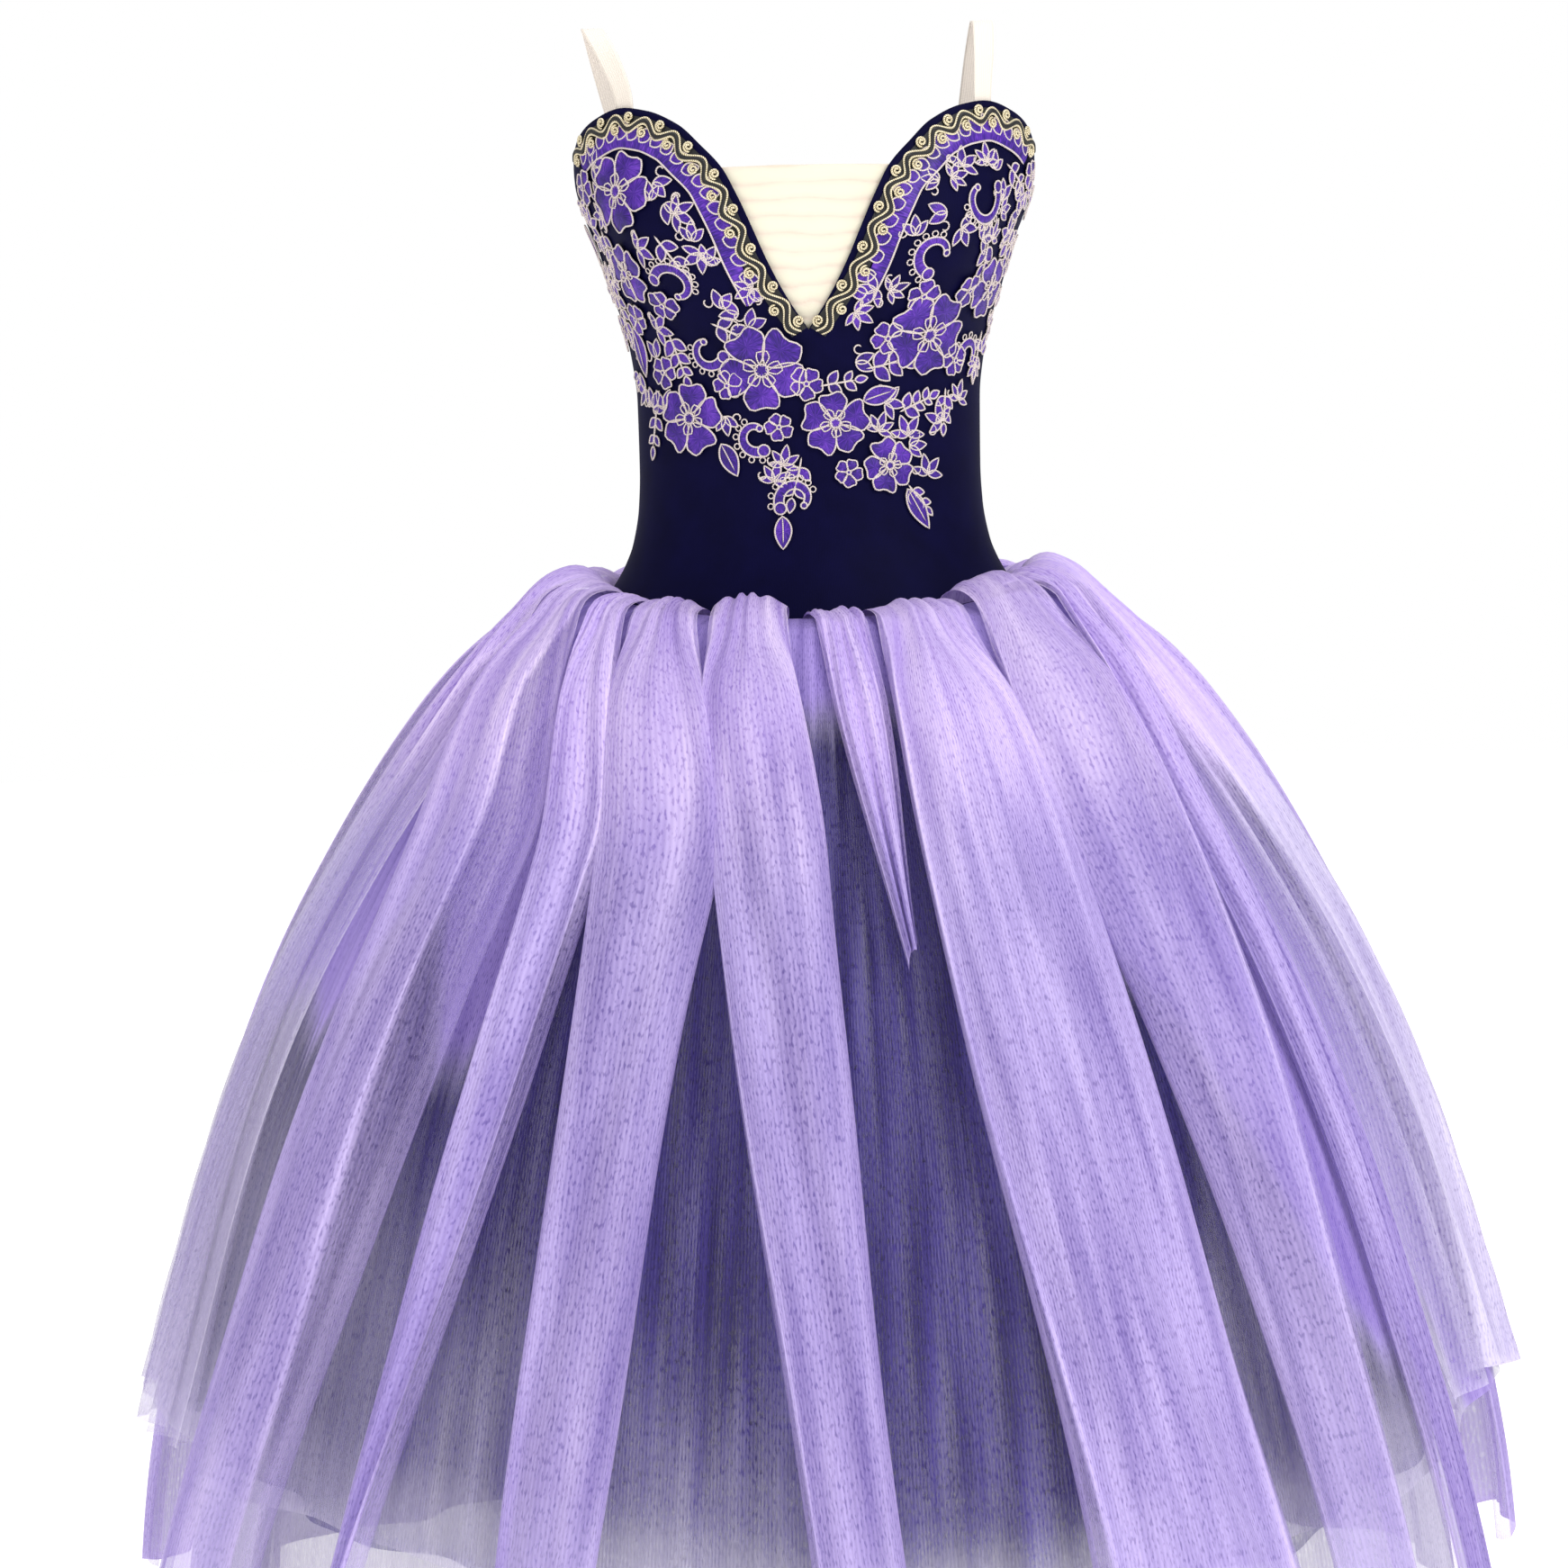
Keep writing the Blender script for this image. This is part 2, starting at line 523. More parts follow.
class BodiceSettings(bpy.types.PropertyGroup):
    jersey: colour_setting("Jersey", "#07062c", "Colour of the stretch bodice")
    mesh: colour_setting("Mesh", "#ece5d0", "Colour of the ruched mesh in the V")
    elastic: colour_setting("Straps", "#faefe3", "Colour of the strap elastic")
    ruche: length_setting("Ruche height", RUCHE_HEIGHT, "How far the mesh's gathers stand up")


class TrimSettings(bpy.types.PropertyGroup):
    gimp: colour_setting("Gimp", "#fbf1d2", "Colour of the metallic braid")
    gimp_dark: colour_setting("Gimp shade", "#a58f5c", "Colour between the braid's turns")
    centre: colour_setting("Centre cord", "#0b0a12", "Colour of the cord woven through the braid")
    thread: colour_setting("Lace thread", "#3b158a", "Colour of the lace's filled petals")
    thread_light: colour_setting("Thread highlight", "#6f3bbf", "Colour where the thread shines")
    thread_dark: colour_setting("Thread shade", "#14073f", "Colour between the threads")
    cord: colour_setting("Lace cord", "#efe4da", "Colour of the cord round each petal")
    cord_dark: colour_setting("Lace cord shade", "#a8949c", "Colour between the cord's turns")
    cord_radius: length_setting("Cord radius", 0.00062, "Radius of the lace's outline cord")
    gimp_radius: length_setting("Gimp cord radius", 0.00085, "Radius of the braid's metallic cord")


class SkirtSettings(bpy.types.PropertyGroup):
    lavender: colour_setting("Lavender", "#d4c3f6", "Light of the lavender net")
    lavender_shade: colour_setting("Lavender shade", "#8f7bc8", "Shade of the lavender net")
    top: colour_setting("Gathered", "#ecdafc", "Light of the lavender net where it is gathered")
    top_shade: colour_setting("Gathered shade", "#b094e6", "Shade of the lavender net where it is gathered")
    groove: colour_setting("Groove", "#b7a2e6", "Light of the net between the widths")
    groove_shade: colour_setting("Groove shade", "#7a64b8", "Shade of the net between the widths")
    indigo: colour_setting("Indigo", "#55499b", "Light of the indigo net")
    indigo_shade: colour_setting("Indigo shade", "#1d134c", "Shade of the indigo net")
    smoke: colour_setting("Smoke", "#d0cae2", "Light of the smoke net")
    smoke_shade: colour_setting("Smoke shade", "#a29bbf", "Shade of the smoke net")
    sheer: colour_setting("Sheer", "#e6def8", "Light of the sheer side widths")
    sheer_shade: colour_setting("Sheer shade", "#b9addd", "Shade of the sheer side widths")
    yarn_pitch: length_setting("Yarn pitch", 0.0021, "Distance between the yarns as drawn")
    gather: length_setting("Gather height", 0.0030, "Height of the small gathers at the seam")


class StageSettings(bpy.types.PropertyGroup):
    board: colour_setting("Board", "#fbfaf7", "Colour of the floor")
    floor_drop: length_setting("Floor", 1.30, "Drop of the floor below the shoulders")


# Bodice pieces


def bodice_cloth(name, azimuths, rows, material):
    """One cut piece of the bodice: rows at equal shares of the drop from its upper edge to its tuck,
    columns at the azimuths, all on the bodice's outer face."""
    share = np.linspace(0.0, 1.0, rows + 1)[:, None]
    top = neckline(azimuths)[None, :]
    drop = top + (seam_drop(azimuths)[None, :] + BASQUE_TUCK - top) * share
    points = bodice_point(np.broadcast_to(azimuths, drop.shape), drop)
    round_run = azimuths * 0.125
    uv = np.stack((np.broadcast_to(round_run, drop.shape), drop), -1)
    return thicken(add_piece(name + "_cloth", [grid(points, uv)], [material], [name]), BODICE_WALL)


class DRESS_OT_bodice(bpy.types.Operator):
    """Front with the V and the cups, and the low back"""

    bl_idname = "dress.bodice"
    bl_label = "Bodice"

    def execute(self, context):
        settings = context.scene.dress_bodice
        jersey = stretch_jersey("navy_warp_knit_jersey", tuple(settings.jersey))
        steps = np.linspace(-1.0, 1.0, 181)
        side = np.radians(SIDE_SEAM_AZIMUTH - SIDE_SEAM_HALF_GAP)
        front = bodice_cloth("bodice_front", side * (0.6 * steps + 0.4 * steps**3), 90, jersey)
        start = np.radians(SIDE_SEAM_AZIMUTH + SIDE_SEAM_HALF_GAP)
        back = bodice_cloth("bodice_back", np.linspace(start, 2 * np.pi - start, 121), 60, jersey)
        return {"FINISHED"}


class DRESS_OT_insert(bpy.types.Operator):
    """Ruched mesh behind the V"""

    bl_idname = "dress.insert"
    bl_label = "Mesh insert"

    def execute(self, context):
        settings = context.scene.dress_bodice
        share = np.linspace(0.0, 1.0, 121)
        drop = INSERT_TOP_DROP + (INSERT_BOTTOM_DROP - INSERT_TOP_DROP) * share
        edge_azimuth = np.radians(np.linspace(0.0, V_END_AZIMUTH, FINE_STEPS))
        half = np.interp(drop, neckline(edge_azimuth)[::-1], edge_azimuth[::-1])
        around = bodice_frame(half, drop)[1]
        half = half + INSERT_LAP / np.linalg.norm(around, axis=-1)
        across = np.linspace(-1.0, 1.0, 49)[None, :]
        azimuth = half[:, None] * across
        share = np.broadcast_to(share[:, None], azimuth.shape)
        # each gather is a rounded roll, a little uneven from side to side and from one to the next
        wander = 0.008 * np.sin(3.1 * across + 9 * share) + 0.004 * np.sin(7.0 * across - 23 * share)
        roll = np.abs(np.sin(np.pi * RUCHES * (share + wander)))**0.7
        drop = np.broadcast_to(drop[:, None], azimuth.shape)
        base = -BODICE_WALL - INSERT_GAP - settings.ruche
        points = on_bodice(azimuth, drop, base + settings.ruche * roll)
        uv = np.stack((azimuth * 0.11, drop), -1)
        mesh = ruched_mesh("nude_power_mesh", tuple(settings.mesh))
        piece = add_piece("mesh_insert_cloth", [grid(points, uv, edge=roll)], [mesh], ["mesh_insert"])
        thicken(piece, MESH_WALL)
        return {"FINISHED"}


def strap_cloth(side, material):
    """Flat elastic from behind the cup, over the shoulder, to behind the back's edge: a smooth line
    through the route's points, with its width turned from the front's direction to the back's."""
    sign = -1.0 if side == "left" else 1.0
    below = BODICE_WALL + INSIDE_GAP + STRAP_WALL / 2
    ends = []
    for azimuth, lap in ((STRAP_FRONT_AZIMUTH, STRAP_FRONT_LAP), (STRAP_BACK_AZIMUTH, STRAP_BACK_LAP)):
        turned = np.radians(sign * azimuth)
        edge = neckline(turned)
        ends.append([on_bodice(turned, edge + down, -below) for down in (lap, 0.0)])
    middle = [np.array((x, y, -drop)) for x, y, drop in STRAP_ROUTES[side]]
    controls = np.array(ends[0] + middle + ends[1][::-1])
    length = np.concatenate(([0.0], np.cumsum(np.linalg.norm(np.diff(controls, axis=0), axis=1))))
    table = [(at, *point) for at, point in zip(length, controls)]
    at = np.linspace(0.0, length[-1], 101)
    line = np.stack([smooth(at, table, column) for column in (1, 2, 3)], -1)
    along = unit(np.gradient(line, axis=0))
    front_round = bodice_frame(np.radians(sign * STRAP_FRONT_AZIMUTH), -controls[0][2])[1]
    back_round = bodice_frame(np.radians(sign * STRAP_BACK_AZIMUTH), -controls[-1][2])[1]
    share = at / length[-1]
    to_middle = ease(share / STRAP_FLAT_SHARE)[:, None]
    to_back = ease((share - STRAP_TURN_START) / STRAP_TURN_SHARE)[:, None]
    wide = (1 - to_middle) * unit(front_round) + to_middle * (1 - to_back) * np.array((1.0, 0.0, 0.0)) \
        - to_middle * to_back * unit(back_round)
    wide = unit(wide - (wide * along).sum(1, keepdims=True) * along)
    face = unit(np.cross(wide, along))
    across = np.linspace(-1.0, 1.0, 9)
    points = line[:, None] + wide[:, None] * across[None, :, None] * STRAP_WIDTH / 2
    points = points + face[:, None] * STRAP_WALL / 2
    uv = np.stack(np.broadcast_arrays(across[None, :] * STRAP_WIDTH / 2, at[:, None]), -1)
    piece = add_piece(f"strap_{side}_elastic", [grid(points[:, ::-1], uv[:, ::-1])], [material],
                      [f"strap_{side}"])
    return thicken(piece, STRAP_WALL), float(length[-1])


class DRESS_OT_straps(bpy.types.Operator):
    """Two flat elastic shoulder straps"""

    bl_idname = "dress.straps"
    bl_label = "Straps"

    def execute(self, context):
        elastic = ribbed_elastic("nude_ribbed_elastic", tuple(context.scene.dress_bodice.elastic))
        for side in STRAP_ROUTES:
            piece, length = strap_cloth(side, elastic)
        return {"FINISHED"}


# Cords and patches on the bodice


def lay(azimuth, drop, x, y, height):
    """Flat motif coordinates laid on the bodice: x to the right and y down, in metres from a middle."""
    middle = np.radians(azimuth)
    _, around, down = bodice_frame(middle, drop)
    return on_bodice(middle + x / np.linalg.norm(around), drop + y / np.linalg.norm(down),
                     np.broadcast_to(height, np.shape(x)))


def cord_grid(line, lift, radius, closed=False, slot=0, sides=6):
    """A round cord about a line: a ring of points at each station, set square to the line, with the
    ring's first direction along lift. An open cord is drawn in to a point at its two ends."""
    if closed:
        along = np.roll(line, -1, axis=0) - np.roll(line, 1, axis=0)
        step = np.linalg.norm(np.roll(line, -1, axis=0) - line, axis=1)
    else:
        along = np.gradient(line, axis=0)
        step = np.linalg.norm(np.diff(line, axis=0, append=line[-1:]), axis=1)
    along = unit(along)
    lift = unit(lift - (lift * along).sum(1, keepdims=True) * along)
    across = np.cross(lift, along)
    angle = np.linspace(0.0, 2 * np.pi, sides, endpoint=False)
    size = np.broadcast_to(radius, (len(line),)).astype(float)
    if not closed:
        near = np.minimum(np.arange(len(line)), np.arange(len(line))[::-1])
        size = size * np.where(near == 0, 0.0, np.where(near == 1, 0.8, 1.0))
    ring = lift[:, None] * np.cos(angle)[None, :, None] + across[:, None] * np.sin(angle)[None, :, None]
    points = line[:, None] + ring * size[:, None, None]
    run = np.concatenate(([0.0], np.cumsum(step)))[:len(line) + (1 if closed else 0)]
    turn = np.arange(sides + 1) * (2 * np.pi * float(size.max()) / sides)
    uv = np.stack(np.broadcast_arrays(turn[None, :], run[:, None]), -1)
    return grid(points, uv, slot, around=True, along=closed)


def cord_on(azimuth, drop, x, y, height, radius, closed=False, slot=0):
    """A cord laid on the bodice along a flat path about a middle."""
    height = np.broadcast_to(height, np.shape(x))
    line = lay(azimuth, drop, x, y, height)
    return cord_grid(line, lay(azimuth, drop, x, y, height + 0.001) - line, radius, closed, slot)


def patch_on(azimuth, drop, x, y, middle, height, dome, rings=4, slot=0):
    """A filled patch inside a closed outline: rings drawn in from the outline to a middle point, with
    the height rising by the dome. Its uv runs round the patch and out from the middle, as thread does."""
    if np.sum(x * np.roll(y, -1) - np.roll(x, -1) * y) > 0:
        x, y = x[::-1], y[::-1]
    share = np.linspace(0.0, 1.0, rings + 1)[:, None]
    px = middle[0] + share * (x - middle[0])
    py = middle[1] + share * (y - middle[1])
    points = lay(azimuth, drop, px, py, height + dome * (1 - share**2) * np.ones_like(px))
    reach = np.hypot(x - middle[0], y - middle[1])
    size = float(reach.mean())
    turn = np.arange(len(x) + 1) * (2 * np.pi * size / len(x))
    uv = np.stack(np.broadcast_arrays(turn[None, :], share * size), -1)
    return grid(points, uv, slot, around=True)


def turned(x, y, degrees):
    """A flat path turned about its middle."""
    angle = np.radians(degrees)
    return x * np.cos(angle) - y * np.sin(angle), x * np.sin(angle) + y * np.cos(angle)


def petal_outline(reach, width, notch, root=0.14, steps=26):
    """Outline of a petal that points along x: an oval from the root to the reach, wider towards its
    tip, with a notch pressed into the tip and a slightly waved rim."""
    angle = np.linspace(0.0, 2 * np.pi, steps, endpoint=False)
    x = reach * ((1 + root) / 2 - (1 - root) / 2 * np.cos(angle))
    x = x - notch * reach * np.exp(-(((angle - np.pi) / 0.38) ** 2))
    rim = 1 + 0.05 * np.sin(5 * angle) * np.sin(angle / 2) ** 2
    return x * rim, width * np.sin(angle) * (1 - 0.42 * np.cos(angle)) * rim


def leaf_outline(length, width, bend=0.0, steps=22):
    """Outline of a leaf that starts at the middle and points along x: two bowed sides meeting at a tip."""
    half = steps // 2
    share = np.concatenate((np.linspace(0.0, 1.0, half, endpoint=False), np.linspace(1.0, 0.0, half, endpoint=False)))
    side = np.concatenate((np.ones(half), -np.ones(half)))
    x = length * share
    y = side * width * np.sin(np.pi * share**0.85) ** 0.85 + bend * length * share**2
    return x, y


FILL, CORD = 0, 1
LACE_LEVEL = 0.0011
CORD_LEVEL = 0.0014
DOME = 0.0009
# Flowers: azimuth, drop, radius, turn
FLOWERS = (
    (-50.0, 0.1140, 0.0250, 12.0), (-56.0, 0.1660, 0.0190, 50.0), (-42.0, 0.2630, 0.0225, -8.0),
    (-15.0, 0.2325, 0.0265, 24.0), (8.0, 0.2680, 0.0200, -20.0), (39.0, 0.2110, 0.0255, 5.0),
    (26.0, 0.2970, 0.0165, 33.0), (63.0, 0.1800, 0.0200, 20.0),
)
PETALS, PETAL_WIDTH, PETAL_LIFT = 5, 0.405, 0.00012
FLOWER_FULLNESS = 1.10
# Scrolls: azimuth, drop, radius, start of the turn, sweep
SCROLLS = (
    (-37.0, 0.1760, 0.0145, 200.0, 250.0), (-33.0, 0.2190, 0.0120, 20.0, 240.0),
    (-18.0, 0.2760, 0.0110, 60.0, 240.0), (-5.0, 0.3180, 0.0120, 150.0, 250.0),
    (46.0, 0.1240, 0.0170, -30.0, 260.0), (33.0, 0.1600, 0.0130, 100.0, 250.0),
    (62.0, 0.2240, 0.0100, 160.0, 230.0),
)
SCROLL_HALF_WIDTH, SCROLL_TIGHTENING = 0.0030, 0.45
# Leaves: azimuth, drop, length, heading, half width
LEAVES = (
    (-66.0, 0.2180, 0.034, 80.0, 0.0075), (-27.0, 0.2910, 0.024, 60.0, 0.0060),
    (-9.0, 0.3400, 0.022, 85.0, 0.0055), (36.5, 0.3260, 0.030, 60.0, 0.0060),
    (23.0, 0.2500, 0.024, -20.0, 0.0060), (-84.0, 0.1450, 0.030, 85.0, 0.0065),
)
# Sprigs of paired leaflets on a stem: azimuth, drop, length, heading, pairs
SPRIGS = (
    (-30.0, 0.2010, 0.030, 25.0, 3), (-66.0, 0.1360, 0.030, 95.0, 3), (-47.0, 0.2060, 0.032, 80.0, 3),
    (-60.0, 0.2560, 0.026, 100.0, 2), (3.0, 0.2440, 0.024, -10.0, 2), (18.0, 0.2330, 0.034, -8.0, 3),
    (30.0, 0.2620, 0.026, -25.0, 3), (52.0, 0.1500, 0.034, 75.0, 3), (71.0, 0.1360, 0.034, 92.0, 3),
    (-3.0, 0.2900, 0.028, 100.0, 2), (33.0, 0.3100, 0.020, 55.0, 2), (50.0, 0.2460, 0.024, 95.0, 2),
    (-73.0, 0.1750, 0.030, 88.0, 3), (70.0, 0.2080, 0.026, 96.0, 2), (-38.0, 0.1440, 0.026, 60.0, 2),
    (57.0, 0.1000, 0.026, 30.0, 2),
)
# Small blossoms that fill in: azimuth, drop, radius, turn
BUDS = (
    (-44.0, 0.1880, 0.0110, 0.0), (-62.0, 0.1960, 0.0105, 30.0), (-70.0, 0.1080, 0.0110, 10.0),
    (-27.0, 0.2420, 0.0100, 40.0), (-1.0, 0.2420, 0.0110, 15.0), (24.5, 0.2130, 0.0110, 20.0),
    (33.0, 0.1860, 0.0110, 50.0), (50.0, 0.1820, 0.0110, 5.0), (53.0, 0.2280, 0.0105, 35.0),
    (-53.0, 0.2320, 0.0105, 12.0), (75.0, 0.1620, 0.0100, 25.0), (12.0, 0.3010, 0.0090, 8.0),
    (-10.0, 0.2700, 0.0090, 30.0), (-78.0, 0.2010, 0.0090, 18.0), (74.0, 0.1060, 0.0100, 0.0),
)


def flower_grids(azimuth, drop, radius, turn, level, cord, notch=0.10, veins=True):
    """Five notched petals, each filled and corded, round a corded eye."""
    grids = []
    for petal in range(PETALS):
        uneven = chance(azimuth, drop, petal)
        heading = turn + 360 / PETALS * petal + 8 * (uneven - 0.5)
        reach = radius * (0.92 + 0.16 * uneven)
        x, y = turned(*petal_outline(reach, PETAL_WIDTH * reach, notch * (0.6 + uneven)), heading)
        middle = turned(0.60 * reach, 0.0, heading)
        lift = level + PETAL_LIFT * petal
        grids.append(patch_on(azimuth, drop, x, y, middle, lift, DOME, slot=FILL))
        grids.append(cord_on(azimuth, drop, x, y, lift + 0.0006, cord, closed=True, slot=CORD))
        if veins:
            x, y = turned(*petal_outline(0.44 * reach, 0.13 * reach, 0.0, 0.2, 14), heading + 180 / PETALS)
            grids.append(cord_on(azimuth, drop, x, y, level + 0.0016, 0.8 * cord, closed=True, slot=CORD))
    angle = np.linspace(0.0, 2 * np.pi, 14, endpoint=False)
    eye = 0.15 * radius
    x, y = eye * np.cos(angle), eye * np.sin(angle)
    grids.append(patch_on(azimuth, drop, x, y, (0.0, 0.0), level + 0.0016, 0.0008, rings=3, slot=FILL))
    grids.append(cord_on(azimuth, drop, x, y, level + 0.0020, cord, closed=True, slot=CORD))
    return grids


def leaf_grids(azimuth, drop, length, width, heading, level, cord, start=(0.0, 0.0), bend=0.0, vein=True):
    """A filled and corded leaf with a midrib."""
    x, y = turned(*leaf_outline(length, width, bend), heading)
    middle = turned(0.45 * length, bend * length * 0.2, heading)
    x, y = x + start[0], y + start[1]
    middle = (middle[0] + start[0], middle[1] + start[1])
    grids = [
        patch_on(azimuth, drop, x, y, middle, level, 0.7 * DOME, rings=3, slot=FILL),
        cord_on(azimuth, drop, x, y, level + CORD_LEVEL - LACE_LEVEL, cord, closed=True, slot=CORD),
    ]
    if vein:
        share = np.linspace(0.0, 0.85, 8)
        x, y = turned(length * share, bend * length * share**2, heading)
        grids.append(cord_on(azimuth, drop, x + start[0], y + start[1], level + 0.7 * DOME + 0.0003, 0.7 * cord,
                             slot=CORD))
    return grids


def ribbon_grids(azimuth, drop, x, y, half, level, cord, dome=DOME, edges=True):
    """A filled band along a flat path with a cord on both sides: half is its half width at each
    station, and its middle is raised by the dome."""
    step = unit(np.stack((np.gradient(x), np.gradient(y)), -1))
    across = np.linspace(-1.0, 1.0, 7)[None, :]
    px = x[:, None] - step[:, 1:] * half[:, None] * across
    py = y[:, None] + step[:, :1] * half[:, None] * across
    points = lay(azimuth, drop, px, py, level + dome * (1 - across**2) * np.ones_like(px))
    run = np.concatenate(([0.0], np.cumsum(np.hypot(np.diff(x), np.diff(y)))))
    uv = np.stack(np.broadcast_arrays(run[:, None], half.max() * across), -1)
    grids = [grid(points[:, ::-1], uv[:, ::-1], FILL)]
    if edges:
        for column in (0, -1):
            grids.append(cord_on(azimuth, drop, px[:, column], py[:, column], level + 0.0003, cord, slot=CORD))
    return grids


def scroll_grids(azimuth, drop, radius, start, sweep, level, cord):
    """A C-shaped band that tightens and narrows to its curled end, with picot loops outside."""
    share = np.linspace(0.0, 1.0, 40)
    turn = np.radians(start + sweep * share)
    reach = radius * (1 - SCROLL_TIGHTENING * share)
    x, y = reach * np.cos(turn), reach * np.sin(turn)
    half = SCROLL_HALF_WIDTH * (1.15 - 0.55 * share)
    grids = ribbon_grids(azimuth, drop, x, y, half, level, cord)
    for end, place in ((0, 0.0), (-1, 1.0)):
        angle = np.linspace(0.0, 2 * np.pi, 14, endpoint=False)
        knob = half[end] * 1.15
        kx, ky = x[end] + knob * np.cos(angle), y[end] + knob * np.sin(angle)
        grids.append(patch_on(azimuth, drop, kx, ky, (x[end], y[end]), level + 0.0002, DOME, rings=3, slot=FILL))
        grids.append(cord_on(azimuth, drop, kx, ky, level + 0.0006, cord, closed=True, slot=CORD))
    loops = max(4, int(round(np.radians(sweep) * radius / 0.0068)))
    for place in np.linspace(0.06, 0.72, loops):
        loop_turn = np.radians(start + sweep * place)
        out = radius * (1 - SCROLL_TIGHTENING * place) + SCROLL_HALF_WIDTH * (1.15 - 0.55 * place) + 0.0024
        angle = np.linspace(0.0, 2 * np.pi, 12, endpoint=False)
        lx = out * np.cos(loop_turn) + 0.0019 * np.cos(angle)
        ly = out * np.sin(loop_turn) + 0.0019 * np.sin(angle)
        grids.append(cord_on(azimuth, drop, lx, ly, level + 0.0001, 0.75 * cord, closed=True, slot=CORD))
    return grids


def sprig_grids(azimuth, drop, length, heading, pairs, level, cord):
    """A bowed stem with pairs of leaflets and one at its tip."""
    share = np.linspace(0.0, 1.0, 14)
    bend = 0.25 * (chance(azimuth, drop) - 0.5)
    sx, sy = length * share, bend * length * share**2
    x, y = turned(sx, sy, heading)
    grids = [cord_on(azimuth, drop, x, y, level + 0.0006, 1.1 * cord, slot=CORD)]
    for pair in range(pairs):
        at = (pair + 0.6) / (pairs + 0.2)
        here = turned(length * at, bend * length * at**2, heading)
        for side in (-1.0, 1.0):
            size = length * (0.42 - 0.06 * pair) * (0.9 + 0.2 * chance(azimuth, pair, side))
            grids += leaf_grids(azimuth, drop, size, 0.30 * size, heading + side * 48, level, cord, here, vein=False)
    tip = turned(length, bend * length, heading)
    grids += leaf_grids(azimuth, drop, 0.36 * length, 0.10 * length, heading, level, cord, tip, vein=False)
    return grids


# Lower edge of the lace's ground: azimuth, drop
LACE_FOOT = (
    (-88.0, 0.225), (-76.0, 0.252), (-60.0, 0.268), (-47.0, 0.285), (-32.0, 0.272), (-20.0, 0.285),
    (-12.0, 0.325), (-4.0, 0.328), (5.0, 0.305), (14.0, 0.290), (22.0, 0.318), (38.0, 0.330), (45.0, 0.280),
    (52.0, 0.255), (62.0, 0.245), (76.0, 0.228), (88.0, 0.195),
)
FILLING_PITCH, FILLING_INSET = 0.0190, 0.0300
FILLING_LEAVES = (3, 5, 2, 4)


def filling_places():
    """Places of the small fans: loose rows over the lace's ground, less those that the larger motifs
    already cover."""
    taken = [(azimuth, drop, radius + 0.0050) for azimuth, drop, radius, _ in FLOWERS + BUDS]
    taken += [(azimuth, drop, radius + 0.0070) for azimuth, drop, radius, _, _ in SCROLLS]
    taken += [(azimuth, drop, 0.42 * length) for azimuth, drop, length, _, _ in LEAVES]
    places = []
    for level, drop in enumerate(np.arange(0.095, 0.335, FILLING_PITCH * 0.9)):
        width = float(half_sizes(0.0, drop)[0])
        step = np.degrees(FILLING_PITCH / width)
        for number, azimuth in enumerate(np.arange(-86.0 + step * 0.5 * (level % 2), 87.0, step)):
            azimuth = azimuth + step * 0.70 * (chance(level, number) - 0.5)
            here = drop + 0.6 * FILLING_PITCH * (chance(number, level) - 0.5)
            below_edge = here - float(neckline(np.radians(azimuth)))
            steep = 1.9 if abs(azimuth) < 24 else 1.0
            if below_edge < FILLING_INSET * steep or here > np.interp(azimuth, *np.array(LACE_FOOT).T):
                continue
            gaps = [np.hypot(np.radians(azimuth - other) * width, here - down) - reach
                    for other, down, reach in taken]
            stems = [np.hypot(np.radians(azimuth - other) * width - 0.5 * length * np.cos(np.radians(heading)),
                              here - down - 0.5 * length * np.sin(np.radians(heading))) - 0.42 * length
                     for other, down, length, heading, _ in SPRIGS]
            if min(gaps + stems) > 0:
                places.append((azimuth, here, 360 * chance(azimuth, here)))
    return places


def filling_grids(cord):
    """Fans of rounded leaves that fill the ground between the motifs: two to five leaves from one foot,
    the middle one longest, with a curled tendril beside them."""
    grids = []
    for azimuth, drop, heading in filling_places():
        luck = chance(drop, azimuth)
        leaves = FILLING_LEAVES[int(4 * luck) % 4]
        size = FILLING_PITCH * (0.66 + 0.16 * luck)
        spread = 40.0 + 18.0 * luck
        foot = turned(-0.5 * size, 0.0, heading)
        for leaf in range(leaves):
            aside = leaf - (leaves - 1) / 2
            length = size * (1.0 - 0.13 * abs(aside))
            grids += leaf_grids(azimuth, drop, length, (0.30 - 0.02 * leaves) * length, heading + spread * aside,
                                LACE_LEVEL - 0.0002 + 0.0001 * leaf, cord, foot, 0.3 * (luck - 0.5), vein=False)
        turn = np.linspace(0.0, 1.5 * np.pi, 14)
        curl = 0.26 * size * (1 - 0.5 * turn / turn[-1])
        x, y = turned(curl * np.cos(turn) - 0.75 * size, curl * np.sin(turn), heading + 60)
        grids.append(cord_on(azimuth, drop, x, y, LACE_LEVEL, cord, slot=CORD))
    return grids


